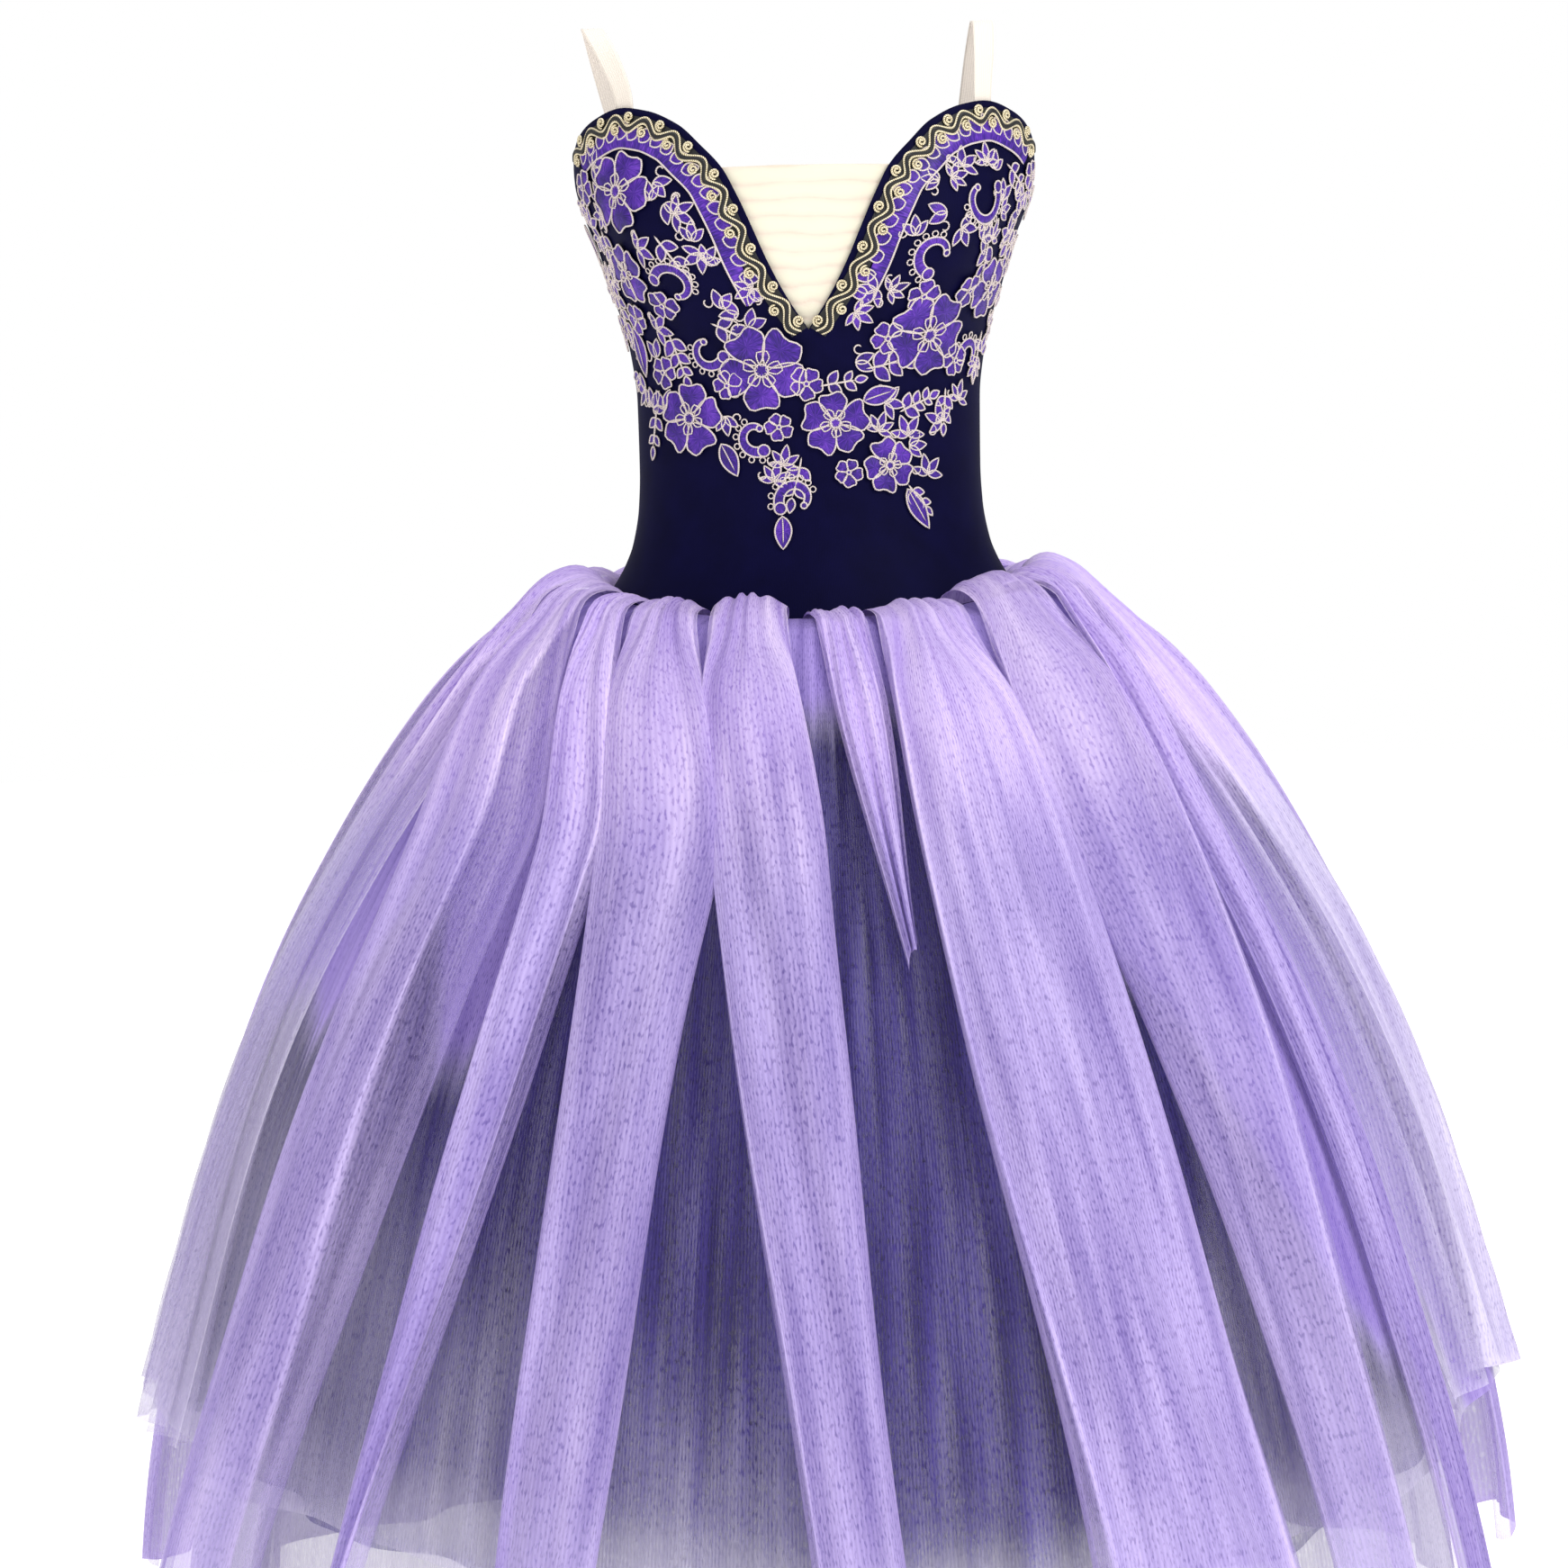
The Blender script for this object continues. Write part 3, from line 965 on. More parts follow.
def beside_neckline(side, start, end, steps, inset):
    """Azimuths in degrees, drops and headings of stations at an inset below the neckline, evenly
    spaced along it. The heading is the direction straight away from the edge."""
    sign = -1.0 if side == "left" else 1.0
    dense = np.radians(np.linspace(start, end, FINE_STEPS)) * sign
    edge = neckline(dense)
    points = bodice_point(dense, edge)
    run = np.concatenate(([0.0], np.cumsum(np.linalg.norm(np.diff(points, axis=0), axis=1))))
    at = np.linspace(0.0, run[-1], steps)
    azimuth = np.interp(at, run, dense)
    drop = neckline(azimuth)
    _, around, down = bodice_frame(azimuth, drop)
    round_scale, down_scale = np.linalg.norm(around, axis=-1), np.linalg.norm(down, axis=-1)
    step = unit(np.stack((np.gradient(azimuth) * round_scale, np.gradient(drop) * down_scale), -1))
    away = np.stack((-step[:, 1], step[:, 0]), -1) * sign
    moved = azimuth + away[:, 0] * inset / round_scale
    return np.degrees(moved), drop + away[:, 1] * inset / down_scale, np.degrees(np.arctan2(away[:, 1], away[:, 0])), at


BAND_INSET, BAND_START, BAND_END, BAND_HALF_WIDTH = 0.0215, 7.5, 76.0, 0.0050


def band_grids(side, cord):
    """The scalloped band under the braid: a filled ribbon along the neckline, corded on its lower
    edge, with leaf-shaped scallops pointing away from the braid on its upper edge."""
    grids = []
    steps = 90
    level = LACE_LEVEL
    insets = np.linspace(-1.0, 1.0, 7)
    rows = []
    for place in insets:
        inset = BAND_INSET + BAND_HALF_WIDTH * place
        azimuth, drop, _, at = beside_neckline(side, BAND_START, BAND_END, steps, np.full(steps, inset))
        rows.append(on_bodice(np.radians(azimuth), drop, np.full(steps, level + 0.0006 * (1 - place**2))))
    points = np.stack(rows, 0)
    uv = np.stack(np.broadcast_arrays(at[None, :], insets[:, None] * BAND_HALF_WIDTH), -1)
    if side == "left":
        points, uv = points[:, ::-1], uv[:, ::-1]
    grids.append(grid(points, uv, FILL))
    azimuth, drop, _, at = beside_neckline(side, BAND_START, BAND_END, steps, np.full(steps, BAND_INSET + BAND_HALF_WIDTH + 0.0004))
    line = on_bodice(np.radians(azimuth), drop, np.full(steps, level + 0.0003))
    lift = on_bodice(np.radians(azimuth), drop, np.full(steps, level + 0.0013)) - line
    grids.append(cord_grid(line, lift, cord * 1.1, slot=CORD))
    scallops = 19
    azimuth, drop, heading, _ = beside_neckline(side, BAND_START + 1, BAND_END - 2, scallops,
                                                np.full(scallops, BAND_INSET - 0.0005))
    for place in range(scallops):
        size = 0.0125 * (0.8 + 0.35 * chance(place, side == "left"))
        lean = 32 * (1 if side == "left" else -1)
        grids += leaf_grids(azimuth[place], drop[place], size, 0.0042, heading[place] + 180 + lean,
                            level + 0.0001 * (place % 2), cord, vein=False)
    return grids


class DRESS_OT_lace(bpy.types.Operator):
    """Corded lace on the front: bands, flowers, scrolls, leaves and the sprigs between them"""

    bl_idname = "dress.lace"
    bl_label = "Corded lace"

    def execute(self, context):
        settings = context.scene.dress_trim
        thread = satin_stitch("violet_rayon_satin_stitch", tuple(settings.thread), tuple(settings.thread_light),
                              tuple(settings.thread_dark))
        cord = wound_cord("ivory_rayon_cord", tuple(settings.cord), tuple(settings.cord_dark), 0.0, 0.5)
        finish = [thread, cord]
        radius = settings.cord_radius
        for side in ("left", "right"):
            add_piece(f"corded_band_{side}", band_grids(side, radius), finish,
                      [f"lace_band_{side}"], merge=True)
        for number, row in enumerate(SCROLLS, 1):
            add_piece(f"corded_scroll_{number:02d}", scroll_grids(*row, LACE_LEVEL + 0.0003, radius), finish,
                      [f"lace_scroll_{number:02d}"], merge=True)
        for number, row in enumerate(FLOWERS, 1):
            azimuth, drop, reach, turn = row
            grids = flower_grids(azimuth, drop, reach * FLOWER_FULLNESS, turn, LACE_LEVEL + 0.0008, radius, 0.09)
            add_piece(f"corded_flower_{number:02d}", grids, finish, [f"lace_flower_{number:02d}"],
                      merge=True)
        for number, (azimuth, drop, length, heading, half) in enumerate(LEAVES, 1):
            start = turned(-length / 2, 0.0, heading)
            grids = leaf_grids(azimuth, drop, length, half, heading, LACE_LEVEL + 0.0005, radius, start, 0.05)
            add_piece(f"corded_leaf_{number:02d}", grids, finish, [f"lace_leaf_{number:02d}"],
                      merge=True)
        between = []
        for row in SPRIGS:
            between += sprig_grids(*row, LACE_LEVEL, radius)
        for row in BUDS:
            between += flower_grids(*row, LACE_LEVEL + 0.0004, 0.9 * radius, 0.0, False)
        add_piece("corded_sprigs", between, finish, merge=True)
        add_piece("corded_filling", filling_grids(0.9 * radius), finish, merge=True)
        return {"FINISHED"}


BRAID_HALF_WIDTH, BRAID_END, BRAID_WAVES = 0.0066, 80.0, 10
BRAID_INSET_AT_V, BRAID_INSET, BRAID_INSET_SHARE = 0.0060, 0.0105, 0.25


def braid_grids(side, gold):
    """Gimp braid: a dark ground, a coil of metallic cord at each rosette, a wave of the same cord down
    each edge and a dark cord winding between the coils."""
    steps = 40 * BRAID_WAVES + 1
    share = np.linspace(0.0, 1.0, steps)
    inset = BRAID_INSET_AT_V + (BRAID_INSET - BRAID_INSET_AT_V) * ease(share / BRAID_INSET_SHARE)
    turn = 2 * np.pi * BRAID_WAVES * share

    def path(offset, height):
        azimuth, drop, _, _ = beside_neckline(side, 0.5, BRAID_END, steps, inset + offset)
        azimuth = np.radians(azimuth)
        line = on_bodice(azimuth, drop, np.broadcast_to(height, (steps,)))
        return line, on_bodice(azimuth, drop, np.broadcast_to(height + 0.001, (steps,))) - line

    ground = np.stack([path(np.full(steps, BRAID_HALF_WIDTH * 0.86 * place), 0.0009)[0][::4]
                       for place in (-1.0, -0.5, 0.0, 0.5, 1.0)], 0)
    uv = np.stack(np.broadcast_arrays(0.3 * share[None, ::4], np.linspace(0, 0.011, 5)[:, None]), -1)
    if side == "left":
        ground, uv = ground[:, ::-1], uv[:, ::-1]
    grids = [grid(ground, uv, 1)]
    wave = BRAID_HALF_WIDTH * 0.56
    for sign in (-1.0, 1.0):
        line, lift = path(sign * 0.0021 + wave * np.sin(turn), 0.0018 + 0.0005 * np.cos(turn + sign))
        grids.append(cord_grid(line, lift, gold, slot=0))
    line, lift = path(wave * np.sin(turn), 0.0021)
    grids.append(cord_grid(line, lift, gold * 1.6, slot=1))
    middle_share = (np.arange(2 * BRAID_WAVES) + 0.5) / (2 * BRAID_WAVES)
    azimuth, drop, heading, _ = beside_neckline(side, 0.5, BRAID_END, steps, inset)
    for number, place in enumerate(middle_share):
        near = int(round(place * (steps - 1)))
        offset = -np.sin(2 * np.pi * BRAID_WAVES * place) * BRAID_HALF_WIDTH * 0.66
        angle = np.linspace(0.0, 3.6 * np.pi, 34)
        coil = 0.0005 + 0.0032 * angle / angle[-1]
        spin = 1.0 if number % 2 else -1.0
        x = coil * np.cos(angle * spin) + offset * np.cos(np.radians(heading[near]))
        y = coil * np.sin(angle * spin) + offset * np.sin(np.radians(heading[near]))
        height = 0.0030 - 0.0009 * angle / angle[-1]
        grids.append(cord_on(azimuth[near], drop[near], x, y, height, gold * 0.95, slot=0))
    return grids


class DRESS_OT_braids(bpy.types.Operator):
    """Metallic gimp braid down each side of the V and over the cups"""

    bl_idname = "dress.braids"
    bl_label = "Gimp braid"

    def execute(self, context):
        settings = context.scene.dress_trim
        gold = wound_cord("gold_metallic_gimp", tuple(settings.gimp), tuple(settings.gimp_dark), 0.30, 0.38)
        dark = wound_cord("black_rayon_cord", tuple(settings.centre), scaled(settings.centre, 0.4), 0.0, 0.5)
        for side in ("left", "right"):
            add_piece(f"gimp_braid_{side}", braid_grids(side, settings.gimp_radius), [gold, dark],
                      [f"braid_{side}"], merge=True)
        return {"FINISHED"}


# Skirt

# Layers: node, top share and hem share of the outer profile, puff, seam step, hem at side and at front,
# folds, fold depth, phase, how thick it lies at the sides, how much thinner at the hem, cut width
LAYERS = (
    ("skirt_pale", 0.74, 0.80, 0.00, 0.0085, 0.700, 0.722, 13, 0.050, 0.0, 1.0, 0.0, 2.60),
    ("skirt_indigo", 0.80, 0.88, 0.05, 0.0060, 0.545, 0.605, 17, 0.040, 0.6, 1.0, 0.55, 2.65),
    ("skirt_smoke", 0.95, 0.975, 0.35, 0.0035, 0.548, 0.588, 13, 0.024, 1.1, 4.4, 0.0, 2.90),
)
LAYER_COLUMNS, LAYER_ROWS = 480, 90
GATHERS, GATHER_DEPTH = 62, 0.0022
GAP_AZIMUTH, GAP_SPREAD, CLEAR_AZIMUTH, CLEAR_SPREAD = 5.0, 11.0, 14.0, 14.0


def layer_points(row):
    """A tube of net: the skirt's profile with deep soft folds that open towards the hem, finer ones
    between them and small gathers at the seam. The hem hangs lower in front and behind than at the sides."""
    (name, top_share, hem_share, puff, seam_step, side_hem, front_hem, folds, fold, phase, side_layers,
     hem_fade, _) = row
    azimuth = np.linspace(0.0, 2 * np.pi, LAYER_COLUMNS, endpoint=False)[None, :]
    hem = side_hem + (front_hem - side_hem) * np.cos(azimuth) ** 2
    hem = hem + 0.008 * np.sin(3 * azimuth + phase) + 0.004 * np.sin(7 * azimuth + 2 * phase)
    run = profile_end(hem) * (np.linspace(0.0, 1.0, LAYER_ROWS)[:, None] ** 1.25)
    reach = run / FULL_RUN
    share = top_share + (hem_share - top_share) * ease(reach / 0.8)
    base = skirt_point(azimuth, run, share, puff, seam_step)
    out = smooth(run, PROFILE_RUN, OUT) * share
    drift = 0.35 * np.sin(2 * azimuth + phase) + 0.25 * np.sin(5 * azimuth - phase)
    uneven = 1 + 0.35 * np.sin(3 * azimuth + phase)
    wave = fold * uneven * np.cos(folds * azimuth + drift + 0.8 * reach)
    wave = wave + 0.30 * fold * np.cos((2 * folds + 3) * azimuth + 2 * drift + phase)
    gathers = GATHER_DEPTH * np.cos(GATHERS * azimuth + 6 * drift) * np.exp(-run / 0.09) * ease(run / 0.01)
    radial = np.stack((np.sin(azimuth), -np.cos(azimuth), np.zeros_like(azimuth)), -1)
    points = base + (out * wave + gathers)[..., None] * radial
    width = 2 * np.pi * 0.42
    uv_around = np.linspace(0.0, 1.0, LAYER_COLUMNS + 1)[None, :] * width
    lengths = np.concatenate((run, run[:, :1]), axis=1)
    uv = np.stack(np.broadcast_arrays(uv_around, lengths), -1)
    edge = 0.5 * np.clip(1 - (run[-1:] - run) / 0.004, 0, 1)
    turned = np.degrees((azimuth + np.pi) % (2 * np.pi) - np.pi)
    clear = 1 - 0.85 * np.exp(-(((turned - CLEAR_AZIMUTH) / CLEAR_SPREAD) ** 2))
    thickens = 0.38 + 0.17 * np.exp(-((turned / 32) ** 2))
    layers = 1 + (side_layers - 1) * (np.sin(azimuth) ** 4 + clear * ease((run - thickens) / 0.15))
    # the last hand's breadth above the hem is a single ply
    layers = layers * (1 - hem_fade * ease((run - run[-1:] + 0.075) / 0.050))
    # between the widths the bunched cloth ends in uneven tips, the shortest just right of centre front
    tip = 0.36 + 0.06 * np.sin(9 * azimuth + 1) + 0.04 * np.sin(16 * azimuth) - 0.25 * np.exp(
        -(((turned - GAP_AZIMUTH) / GAP_SPREAD) ** 2))
    # at the right side, and a little at the left, the lavender cloth runs down to the hem
    tip = tip + 0.42 * np.exp(-(((turned - 68) / 24) ** 2)) + 0.10 * np.exp(-(((turned + 62) / 18) ** 2))
    fade = 0.14 + 0.16 * np.sin(azimuth / 2) ** 4
    return points, uv, edge, layers, ease((tip + 0.5 * (fade - 0.14) - run) / fade)


class DRESS_OT_skirt_layers(bpy.types.Operator):
    """The three tubes of net under the overskirt"""

    bl_idname = "dress.skirt_layers"
    bl_label = "Skirt layers"

    def execute(self, context):
        settings = context.scene.dress_skirt
        pitch = settings.yarn_pitch
        groove = (tuple(settings.groove), tuple(settings.groove_shade))
        indigo = (tuple(settings.indigo), tuple(settings.indigo_shade))
        smoke = (tuple(settings.smoke), tuple(settings.smoke_shade))
        pale = (scaled(settings.smoke, 0.95), settings.smoke_shade)
        nets = {
            "skirt_pale": nylon_net("long_smoke_nylon_net", *pale, 0.76, pitch, pale),
            "skirt_indigo": nylon_net("indigo_nylon_net", *indigo, 0.94, pitch, indigo),
            "skirt_smoke": nylon_net("smoke_nylon_net", *smoke, 0.075, pitch, groove),
        }
        for row in LAYERS:
            name, width = row[0], row[-1]
            points, uv, edge, layers, gather = layer_points(row)
            if name != "skirt_smoke":
                gather = 0.0
            cloth = grid(points, uv, around=True, edge=edge, layers=layers, gather=gather)
            piece = add_piece(f"{name}_net", [cloth], [nets[name]], [name])
        return {"FINISHED"}


# Overskirt widths, each row: azimuths at the seam, the middle and the hem, half widths there, hem below
# the seam, curl, crown, puff
PANELS = (
    (-87.0, -78.0, -78.5, 0.0190, 0.058, 0.088, 0.545, 30.0, 0.024, 1.00),
    (-67.0, -46.0, -58.0, 0.0155, 0.050, 0.056, 0.715, 105.0, 0.014, 0.70),
    (-50.0, -29.6, -41.0, 0.0110, 0.023, 0.008, 0.700, 105.0, 0.011, 0.45),
    (-34.5, -18.6, -22.3, 0.0165, 0.037, 0.027, 0.720, 105.0, 0.015, 0.55),
    (-15.0, -5.6, 3.8, 0.0215, 0.033, 0.025, 0.725, 105.0, 0.016, 0.95),
    (2.8, 5.8, 9.0, 0.0155, 0.016, 0.003, 0.205, 75.0, 0.008, 0.40),
    (20.5, 20.8, 29.0, 0.0235, 0.0465, 0.076, 0.720, 105.0, 0.016, 0.50),
    (45.0, 38.6, 43.8, 0.0245, 0.046, 0.026, 0.705, 105.0, 0.014, 1.15),
    (65.5, 51.5, 55.5, 0.0140, 0.014, 0.010, 0.660, 105.0, 0.011, 0.90),
    (86.5, 75.5, 75.5, 0.0200, 0.068, 0.110, 0.530, 30.0, 0.024, 1.25),
    (111.0, 103.0, 107.0, 0.0185, 0.032, 0.040, 0.700, 105.0, 0.014, 0.80),
    (133.5, 129.0, 130.0, 0.0210, 0.040, 0.046, 0.715, 105.0, 0.015, 1.00),
    (156.0, 153.0, 151.0, 0.0205, 0.036, 0.036, 0.720, 105.0, 0.015, 0.60),
    (179.0, 178.0, 180.0, 0.0230, 0.042, 0.048, 0.725, 105.0, 0.016, 1.05),
    (202.0, 204.0, 206.0, 0.0205, 0.034, 0.036, 0.710, 105.0, 0.014, 0.70),
    (225.0, 229.0, 231.0, 0.0210, 0.040, 0.044, 0.720, 105.0, 0.015, 1.00),
    (248.5, 256.5, 254.0, 0.0190, 0.034, 0.038, 0.705, 105.0, 0.014, 0.85),
)
SHEER_WIDTHS = (1, 10)
PANEL_ROWS, PANEL_COLUMNS = 112, 65
PANEL_STAND_OFF = 0.0015
PANEL_MID_SHARE, PANEL_OPENED_SHARE, PANEL_CROWNED_SHARE, PANEL_OFF_SHARE = 0.30, 0.16, 0.20, 0.05
PANEL_LEAST_CURL, PANEL_LEAST_CROWN = 8.0, 0.0005
SINGLE_SHARE = 0.50
PANEL_LAYERS = {2: 0.86, 4: 0.86, 5: 0.88, 8: 0.76, 10: 2.0}


def panel_points(number, row, gather):
    """One width of the overskirt. Across it the cloth follows an arc from -curl to +curl: sideways by
    its sine and out by its cosine, so the middle stands off and the two edges roll back under. Along it
    the middle and the half width follow the row, with flutes that fade in and out and small gathers
    at the seam that die away below the puff."""
    (seam_azimuth, mid_azimuth, hem_azimuth, seam_half, mid_half, hem_half, hem_below, curl, crown, puff) = row
    luck = [chance(number, place) for place in range(12)]
    sheer = number in SHEER_WIDTHS
    across = np.linspace(-1.0, 1.0, PANEL_COLUMNS)[None, :]
    end = profile_end(hem_below) + 0.006 * np.sin(2.3 * across + 6 * luck[0]) + 0.004 * np.sin(5 * across + 9 * luck[1])
    end = np.minimum(end, FULL_RUN)
    run = end * np.linspace(0.0, 1.0, PANEL_ROWS)[:, None] ** 1.2
    reach = run[:, PANEL_COLUMNS // 2] / FULL_RUN
    last = reach[-1]
    keyed = [(0.0, seam_azimuth, seam_half), (PANEL_MID_SHARE * last, mid_azimuth, mid_half),
             (last, hem_azimuth, hem_half)]
    middle = np.radians(smooth(reach, keyed, 1))
    fuller = 0.14 * np.exp(-(((reach - 0.20) / 0.12) ** 2))
    half = smooth(reach, keyed, 2) * (1 + fuller + 0.05 * np.sin(11 * reach + 6 * luck[2]) * ease(reach / 0.3))
    opened = ease(reach / PANEL_OPENED_SHARE)
    under = curl if sheer else curl + 5 + 20 * luck[3]
    roll = np.radians(PANEL_LEAST_CURL + (under - PANEL_LEAST_CURL) * opened)
    flat = (1 - np.cos(np.radians(curl))) / (1 - np.cos(np.radians(under)))
    height = crown * flat * ease(reach / PANEL_CROWNED_SHARE) + PANEL_LEAST_CROWN
    angle = roll[:, None] * across
    widest = np.sin(np.minimum(roll, np.pi / 2))[:, None]
    sideways = half[:, None] * np.sin(angle) / widest
    stand = PANEL_STAND_OFF * ease(reach / PANEL_OFF_SHARE)[:, None]
    out = height[:, None] * (np.cos(angle) - np.cos(roll)[:, None]) + stand
    flutes = 1.6 + 1.6 * luck[4] + (2 if sheer else 0)
    flute = 0.0045 + 0.0035 * luck[5] if not sheer else 0.009
    bend = flutes * np.pi * across + 6 * luck[6] + 2.2 * np.sin(3.1 * reach[:, None] + 6 * luck[7])
    swell = ease(reach / 0.12)[:, None] * (0.45 + 0.55 * ease(reach / 0.8))[:, None]
    out = out + flute * swell * (np.sin(bend) + 0.4 * np.sin(2.3 * bend + 1.0)) * np.cos(angle).clip(0.15, 1.0)
    pleats = gather * np.exp(-run / 0.12) * ease(run / 0.050)
    out = out + pleats * (np.sin(11 * across + 3 * np.sin(3 * across + 6 * luck[8])) + 0.9)
    lobe = puff * (1.0 - 0.45 * np.abs(across) ** 2.2) * np.ones_like(run)
    centre = skirt_point(middle, run[:, PANEL_COLUMNS // 2], 1.0, puff, 0.0)
    beside = skirt_point(middle + SMALL, run[:, PANEL_COLUMNS // 2], 1.0, puff, 0.0)
    scale = np.linalg.norm((beside - centre) / SMALL, axis=-1)[:, None]
    azimuth = middle[:, None] + sideways / scale
    here = skirt_point(azimuth, run, 1.0, lobe, 0.0)
    around = skirt_point(azimuth + SMALL, run, 1.0, lobe, 0.0) - here
    down = skirt_point(azimuth, run + SMALL, 1.0, lobe, 0.0) - here
    points = here + out[..., None] * unit(np.cross(down, around))
    arc = np.linalg.norm(np.diff(points[-1], axis=0), axis=1).sum()
    cut_half = max(float(arc), 0.02) / 2
    uv = np.stack(np.broadcast_arrays(across * cut_half + 0.37 * number, run), -1)
    side = np.clip(1 - (1 - np.abs(across)) * cut_half / 0.0022, 0, 1) * np.ones_like(run)
    hem = 0.5 * np.clip(1 - (end - run) / 0.0030, 0, 1)
    # the middle lies folded double, and a margin on each side is single cloth
    layers, crease = np.ones_like(run), np.zeros_like(run)
    for sign, place in ((-1.0, 9), (1.0, 10)):
        margin = 0.10 + 0.65 * luck[place] + 0.10 * np.sin(5 * reach + 6 * luck[place])
        beyond = sign * across - (1 - margin[:, None] * opened[:, None])
        layers = layers - (1 - SINGLE_SHARE) * np.clip(beyond / 0.04, 0, 1)
        crease = np.maximum(crease, 0.7 * np.exp(-((beyond / 0.03) ** 2)))
    edge = np.maximum(np.maximum(side, hem), crease * opened[:, None])
    return points, uv, edge, layers * PANEL_LAYERS.get(number, 1.0), 1 - ease((run - 0.04) / 0.36)


class DRESS_OT_overskirt(bpy.types.Operator):
    """The separate lavender widths gathered into the seam"""

    bl_idname = "dress.overskirt"
    bl_label = "Overskirt"

    def execute(self, context):
        settings = context.scene.dress_skirt
        pitch, top = settings.yarn_pitch, (tuple(settings.top), tuple(settings.top_shade))
        dense = nylon_net("lavender_nylon_net", tuple(settings.lavender), tuple(settings.lavender_shade), 0.84,
                          pitch, top)
        sheer = nylon_net("sheer_lavender_nylon_net", tuple(settings.sheer), tuple(settings.sheer_shade), 0.44,
                          pitch, top)
        for number, row in enumerate(PANELS, 1):
            points, uv, edge, layers, gather = panel_points(number, row, settings.gather)
            net = sheer if number in SHEER_WIDTHS else dense
            name = f"overskirt_{number:02d}"
            piece = add_piece(f"{name}_net", [grid(points, uv, edge=edge, layers=layers, gather=gather)],
                              [net], [name])
        return {"FINISHED"}


# Stage

CAMERA_DISTANCE, LOOK_DOWN, CAMERA_ROLL = 2.55, 5.5, -1.2
CAMERA_SIDE, CAMERA_AIM_DROP = -0.0223, 0.515
LENS, SENSOR = 85.0, 36.0
ROOM_LIGHT, BOARD_GLOW = 0.55, 0.60
# Soft lamps: name, place, aim, size, watts
LAMPS = (
    ("key_soft_box", (2.0, -2.5, 1.4), (0.0, 0.0, -0.45), 1.5, 62.0),
    ("fill_soft_box", (-2.3, -2.2, 0.5), (0.0, 0.0, -0.55), 1.8, 18.0),
    ("top_soft_box", (0.0, 0.4, 2.2), (0.0, 0.0, -0.5), 1.6, 32.0),
)


def floor_points(drop, radius=9.0):
    """A round floor: rings about the point under the dress."""
    turn = np.linspace(0.0, 2 * np.pi, 96, endpoint=False)[None, :]
    reach = radius * np.linspace(0.0, 1.0, 7)[:, None]
    return np.stack(np.broadcast_arrays(reach * np.sin(turn), -reach * np.cos(turn), -drop), -1)[::-1]


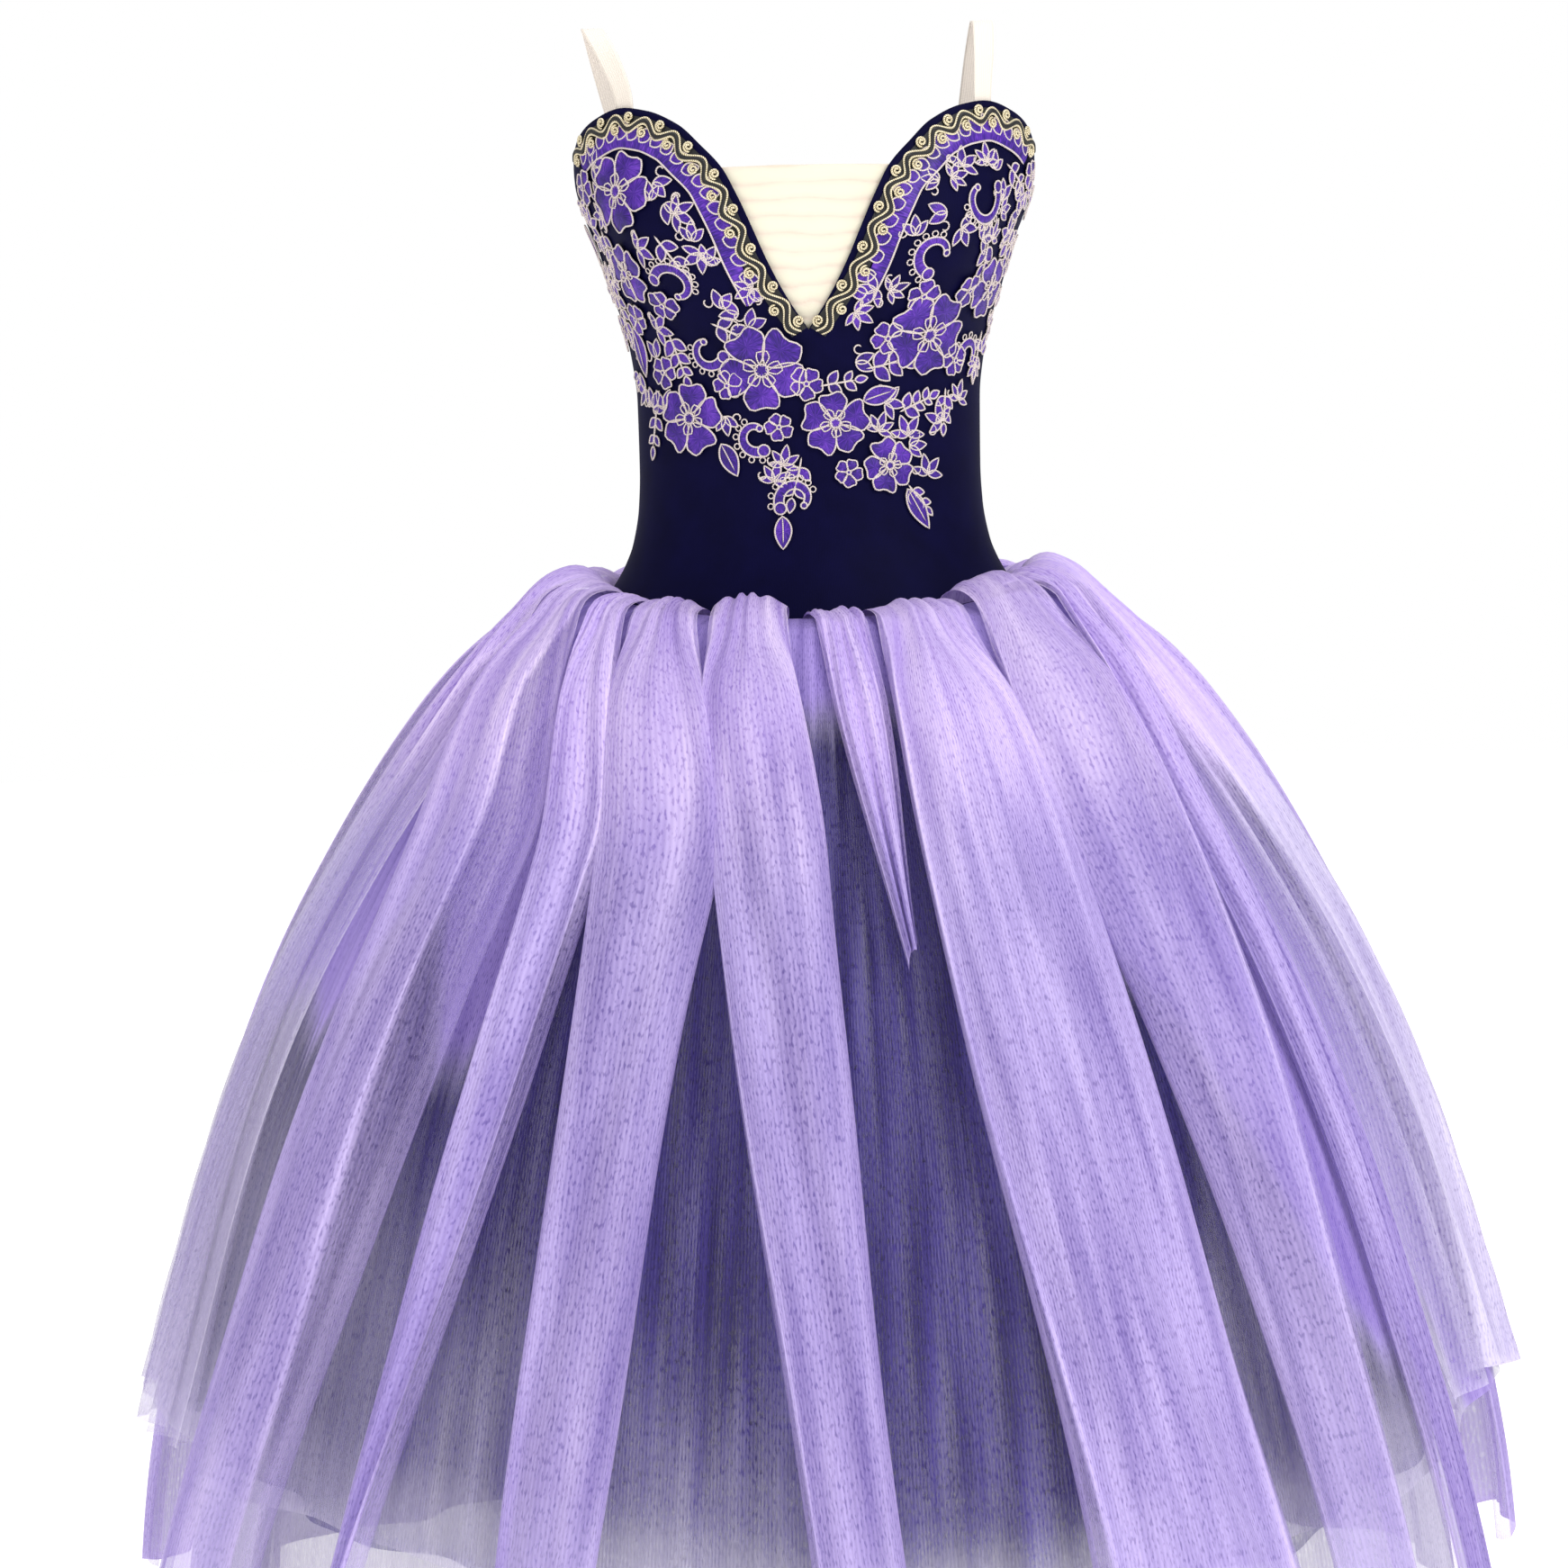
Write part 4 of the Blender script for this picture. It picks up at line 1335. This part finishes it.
class DRESS_OT_stage(bpy.types.Operator):
    """Pale floor, soft lamps and the camera"""

    bl_idname = "dress.stage"
    bl_label = "Stage"

    def execute(self, context):
        settings = context.scene.dress_stage
        points = floor_points(settings.floor_drop)
        mesh = bpy.data.meshes.new("floor")
        rows, columns = points.shape[:2]
        index = np.arange(rows * columns).reshape(rows, columns)
        index = np.concatenate((index, index[:, :1]), axis=1)
        corners = [np.s_[:-1, :-1], np.s_[1:, :-1], np.s_[1:, 1:], np.s_[:-1, 1:]]
        mesh.from_pydata(points.reshape(-1, 3).tolist(), [],
                         np.stack([index[cut] for cut in corners], -1).reshape(-1, 4).tolist())
        mesh.materials.append(painted_board("white_painted_board", tuple(settings.board)))
        floor = bpy.data.objects.new("floor", mesh)
        context.scene.collection.objects.link(floor)
        world = bpy.data.worlds.new("studio")
        world.use_nodes = True
        backdrop = world.node_tree.nodes["Background"]
        backdrop.inputs["Color"].default_value = linear("#ffffff")
        # the backdrop looks white, and lights the dress with a part of that
        seen = add_node(world.node_tree, "ShaderNodeLightPath").outputs["Is Camera Ray"]
        strength = maths(world.node_tree, "MULTIPLY_ADD", seen, 1.0 - ROOM_LIGHT, ROOM_LIGHT)
        world.node_tree.links.new(strength, backdrop.inputs["Strength"])
        context.scene.world = world
        for name, place, aim, size, watts in LAMPS:
            lamp = bpy.data.lights.new(name, "AREA")
            lamp.size = size
            lamp.energy = watts
            box = bpy.data.objects.new(name, lamp)
            box.location = place
            box.rotation_euler = (Vector(aim) - Vector(place)).to_track_quat("-Z", "Y").to_euler()
            context.scene.collection.objects.link(box)
        down = np.radians(LOOK_DOWN)
        tilt = np.radians(CAMERA_ROLL)
        level = Vector((1.0, 0.0, 0.0))
        rise = Vector((0.0, np.sin(down), np.cos(down)))
        right = level * float(np.cos(tilt)) + rise * float(np.sin(tilt))
        up = rise * float(np.cos(tilt)) - level * float(np.sin(tilt))
        lens = bpy.data.cameras.new("camera")
        lens.lens = LENS
        lens.sensor_width = SENSOR
        camera = bpy.data.objects.new("camera", lens)
        place = Vector((CAMERA_SIDE, -CAMERA_DISTANCE * np.cos(down),
                        -CAMERA_AIM_DROP + CAMERA_DISTANCE * np.sin(down)))
        turn = Matrix((right, up, right.cross(up))).transposed().to_4x4()
        camera.matrix_world = Matrix.Translation(place) @ turn
        context.scene.collection.objects.link(camera)
        context.scene.camera = camera
        context.scene.view_settings.view_transform = "Standard"
        return {"FINISHED"}


class DRESS_PT_pieces(bpy.types.Panel):
    """Settings and pieces of the ballet dress"""

    bl_idname = "DRESS_PT_pieces"
    bl_label = "Ballet dress"
    bl_space_type = "VIEW_3D"
    bl_region_type = "UI"
    bl_category = "Ballet dress"

    def draw(self, context):
        for group in GROUPS:
            settings = getattr(context.scene, group)
            for name in settings.__annotations__:
                self.layout.prop(settings, name)
        for operator in OPERATORS:
            self.layout.operator(operator.bl_idname)


GROUPS = {
    "dress_bodice": BodiceSettings,
    "dress_trim": TrimSettings,
    "dress_skirt": SkirtSettings,
    "dress_stage": StageSettings,
}
OPERATORS = (
    DRESS_OT_stage, DRESS_OT_bodice, DRESS_OT_insert, DRESS_OT_straps, DRESS_OT_lace, DRESS_OT_braids,
    DRESS_OT_skirt_layers, DRESS_OT_overskirt,
)


def register():
    for group in (*GROUPS.values(), *OPERATORS, DRESS_PT_pieces):
        bpy.utils.register_class(group)
    for name, group in GROUPS.items():
        setattr(bpy.types.Scene, name, bpy.props.PointerProperty(type=group))


def unregister():
    for name in GROUPS:
        delattr(bpy.types.Scene, name)
    for group in reversed((*GROUPS.values(), *OPERATORS, DRESS_PT_pieces)):
        bpy.utils.unregister_class(group)


def main():
    """Makes every piece in order, and keeps the sizes of the solids and of the dressed part."""
    register()
    for operator in OPERATORS:
        group, name = operator.bl_idname.split(".")
        getattr(getattr(bpy.ops, group), name)()


if __name__ == "__main__":
    main()
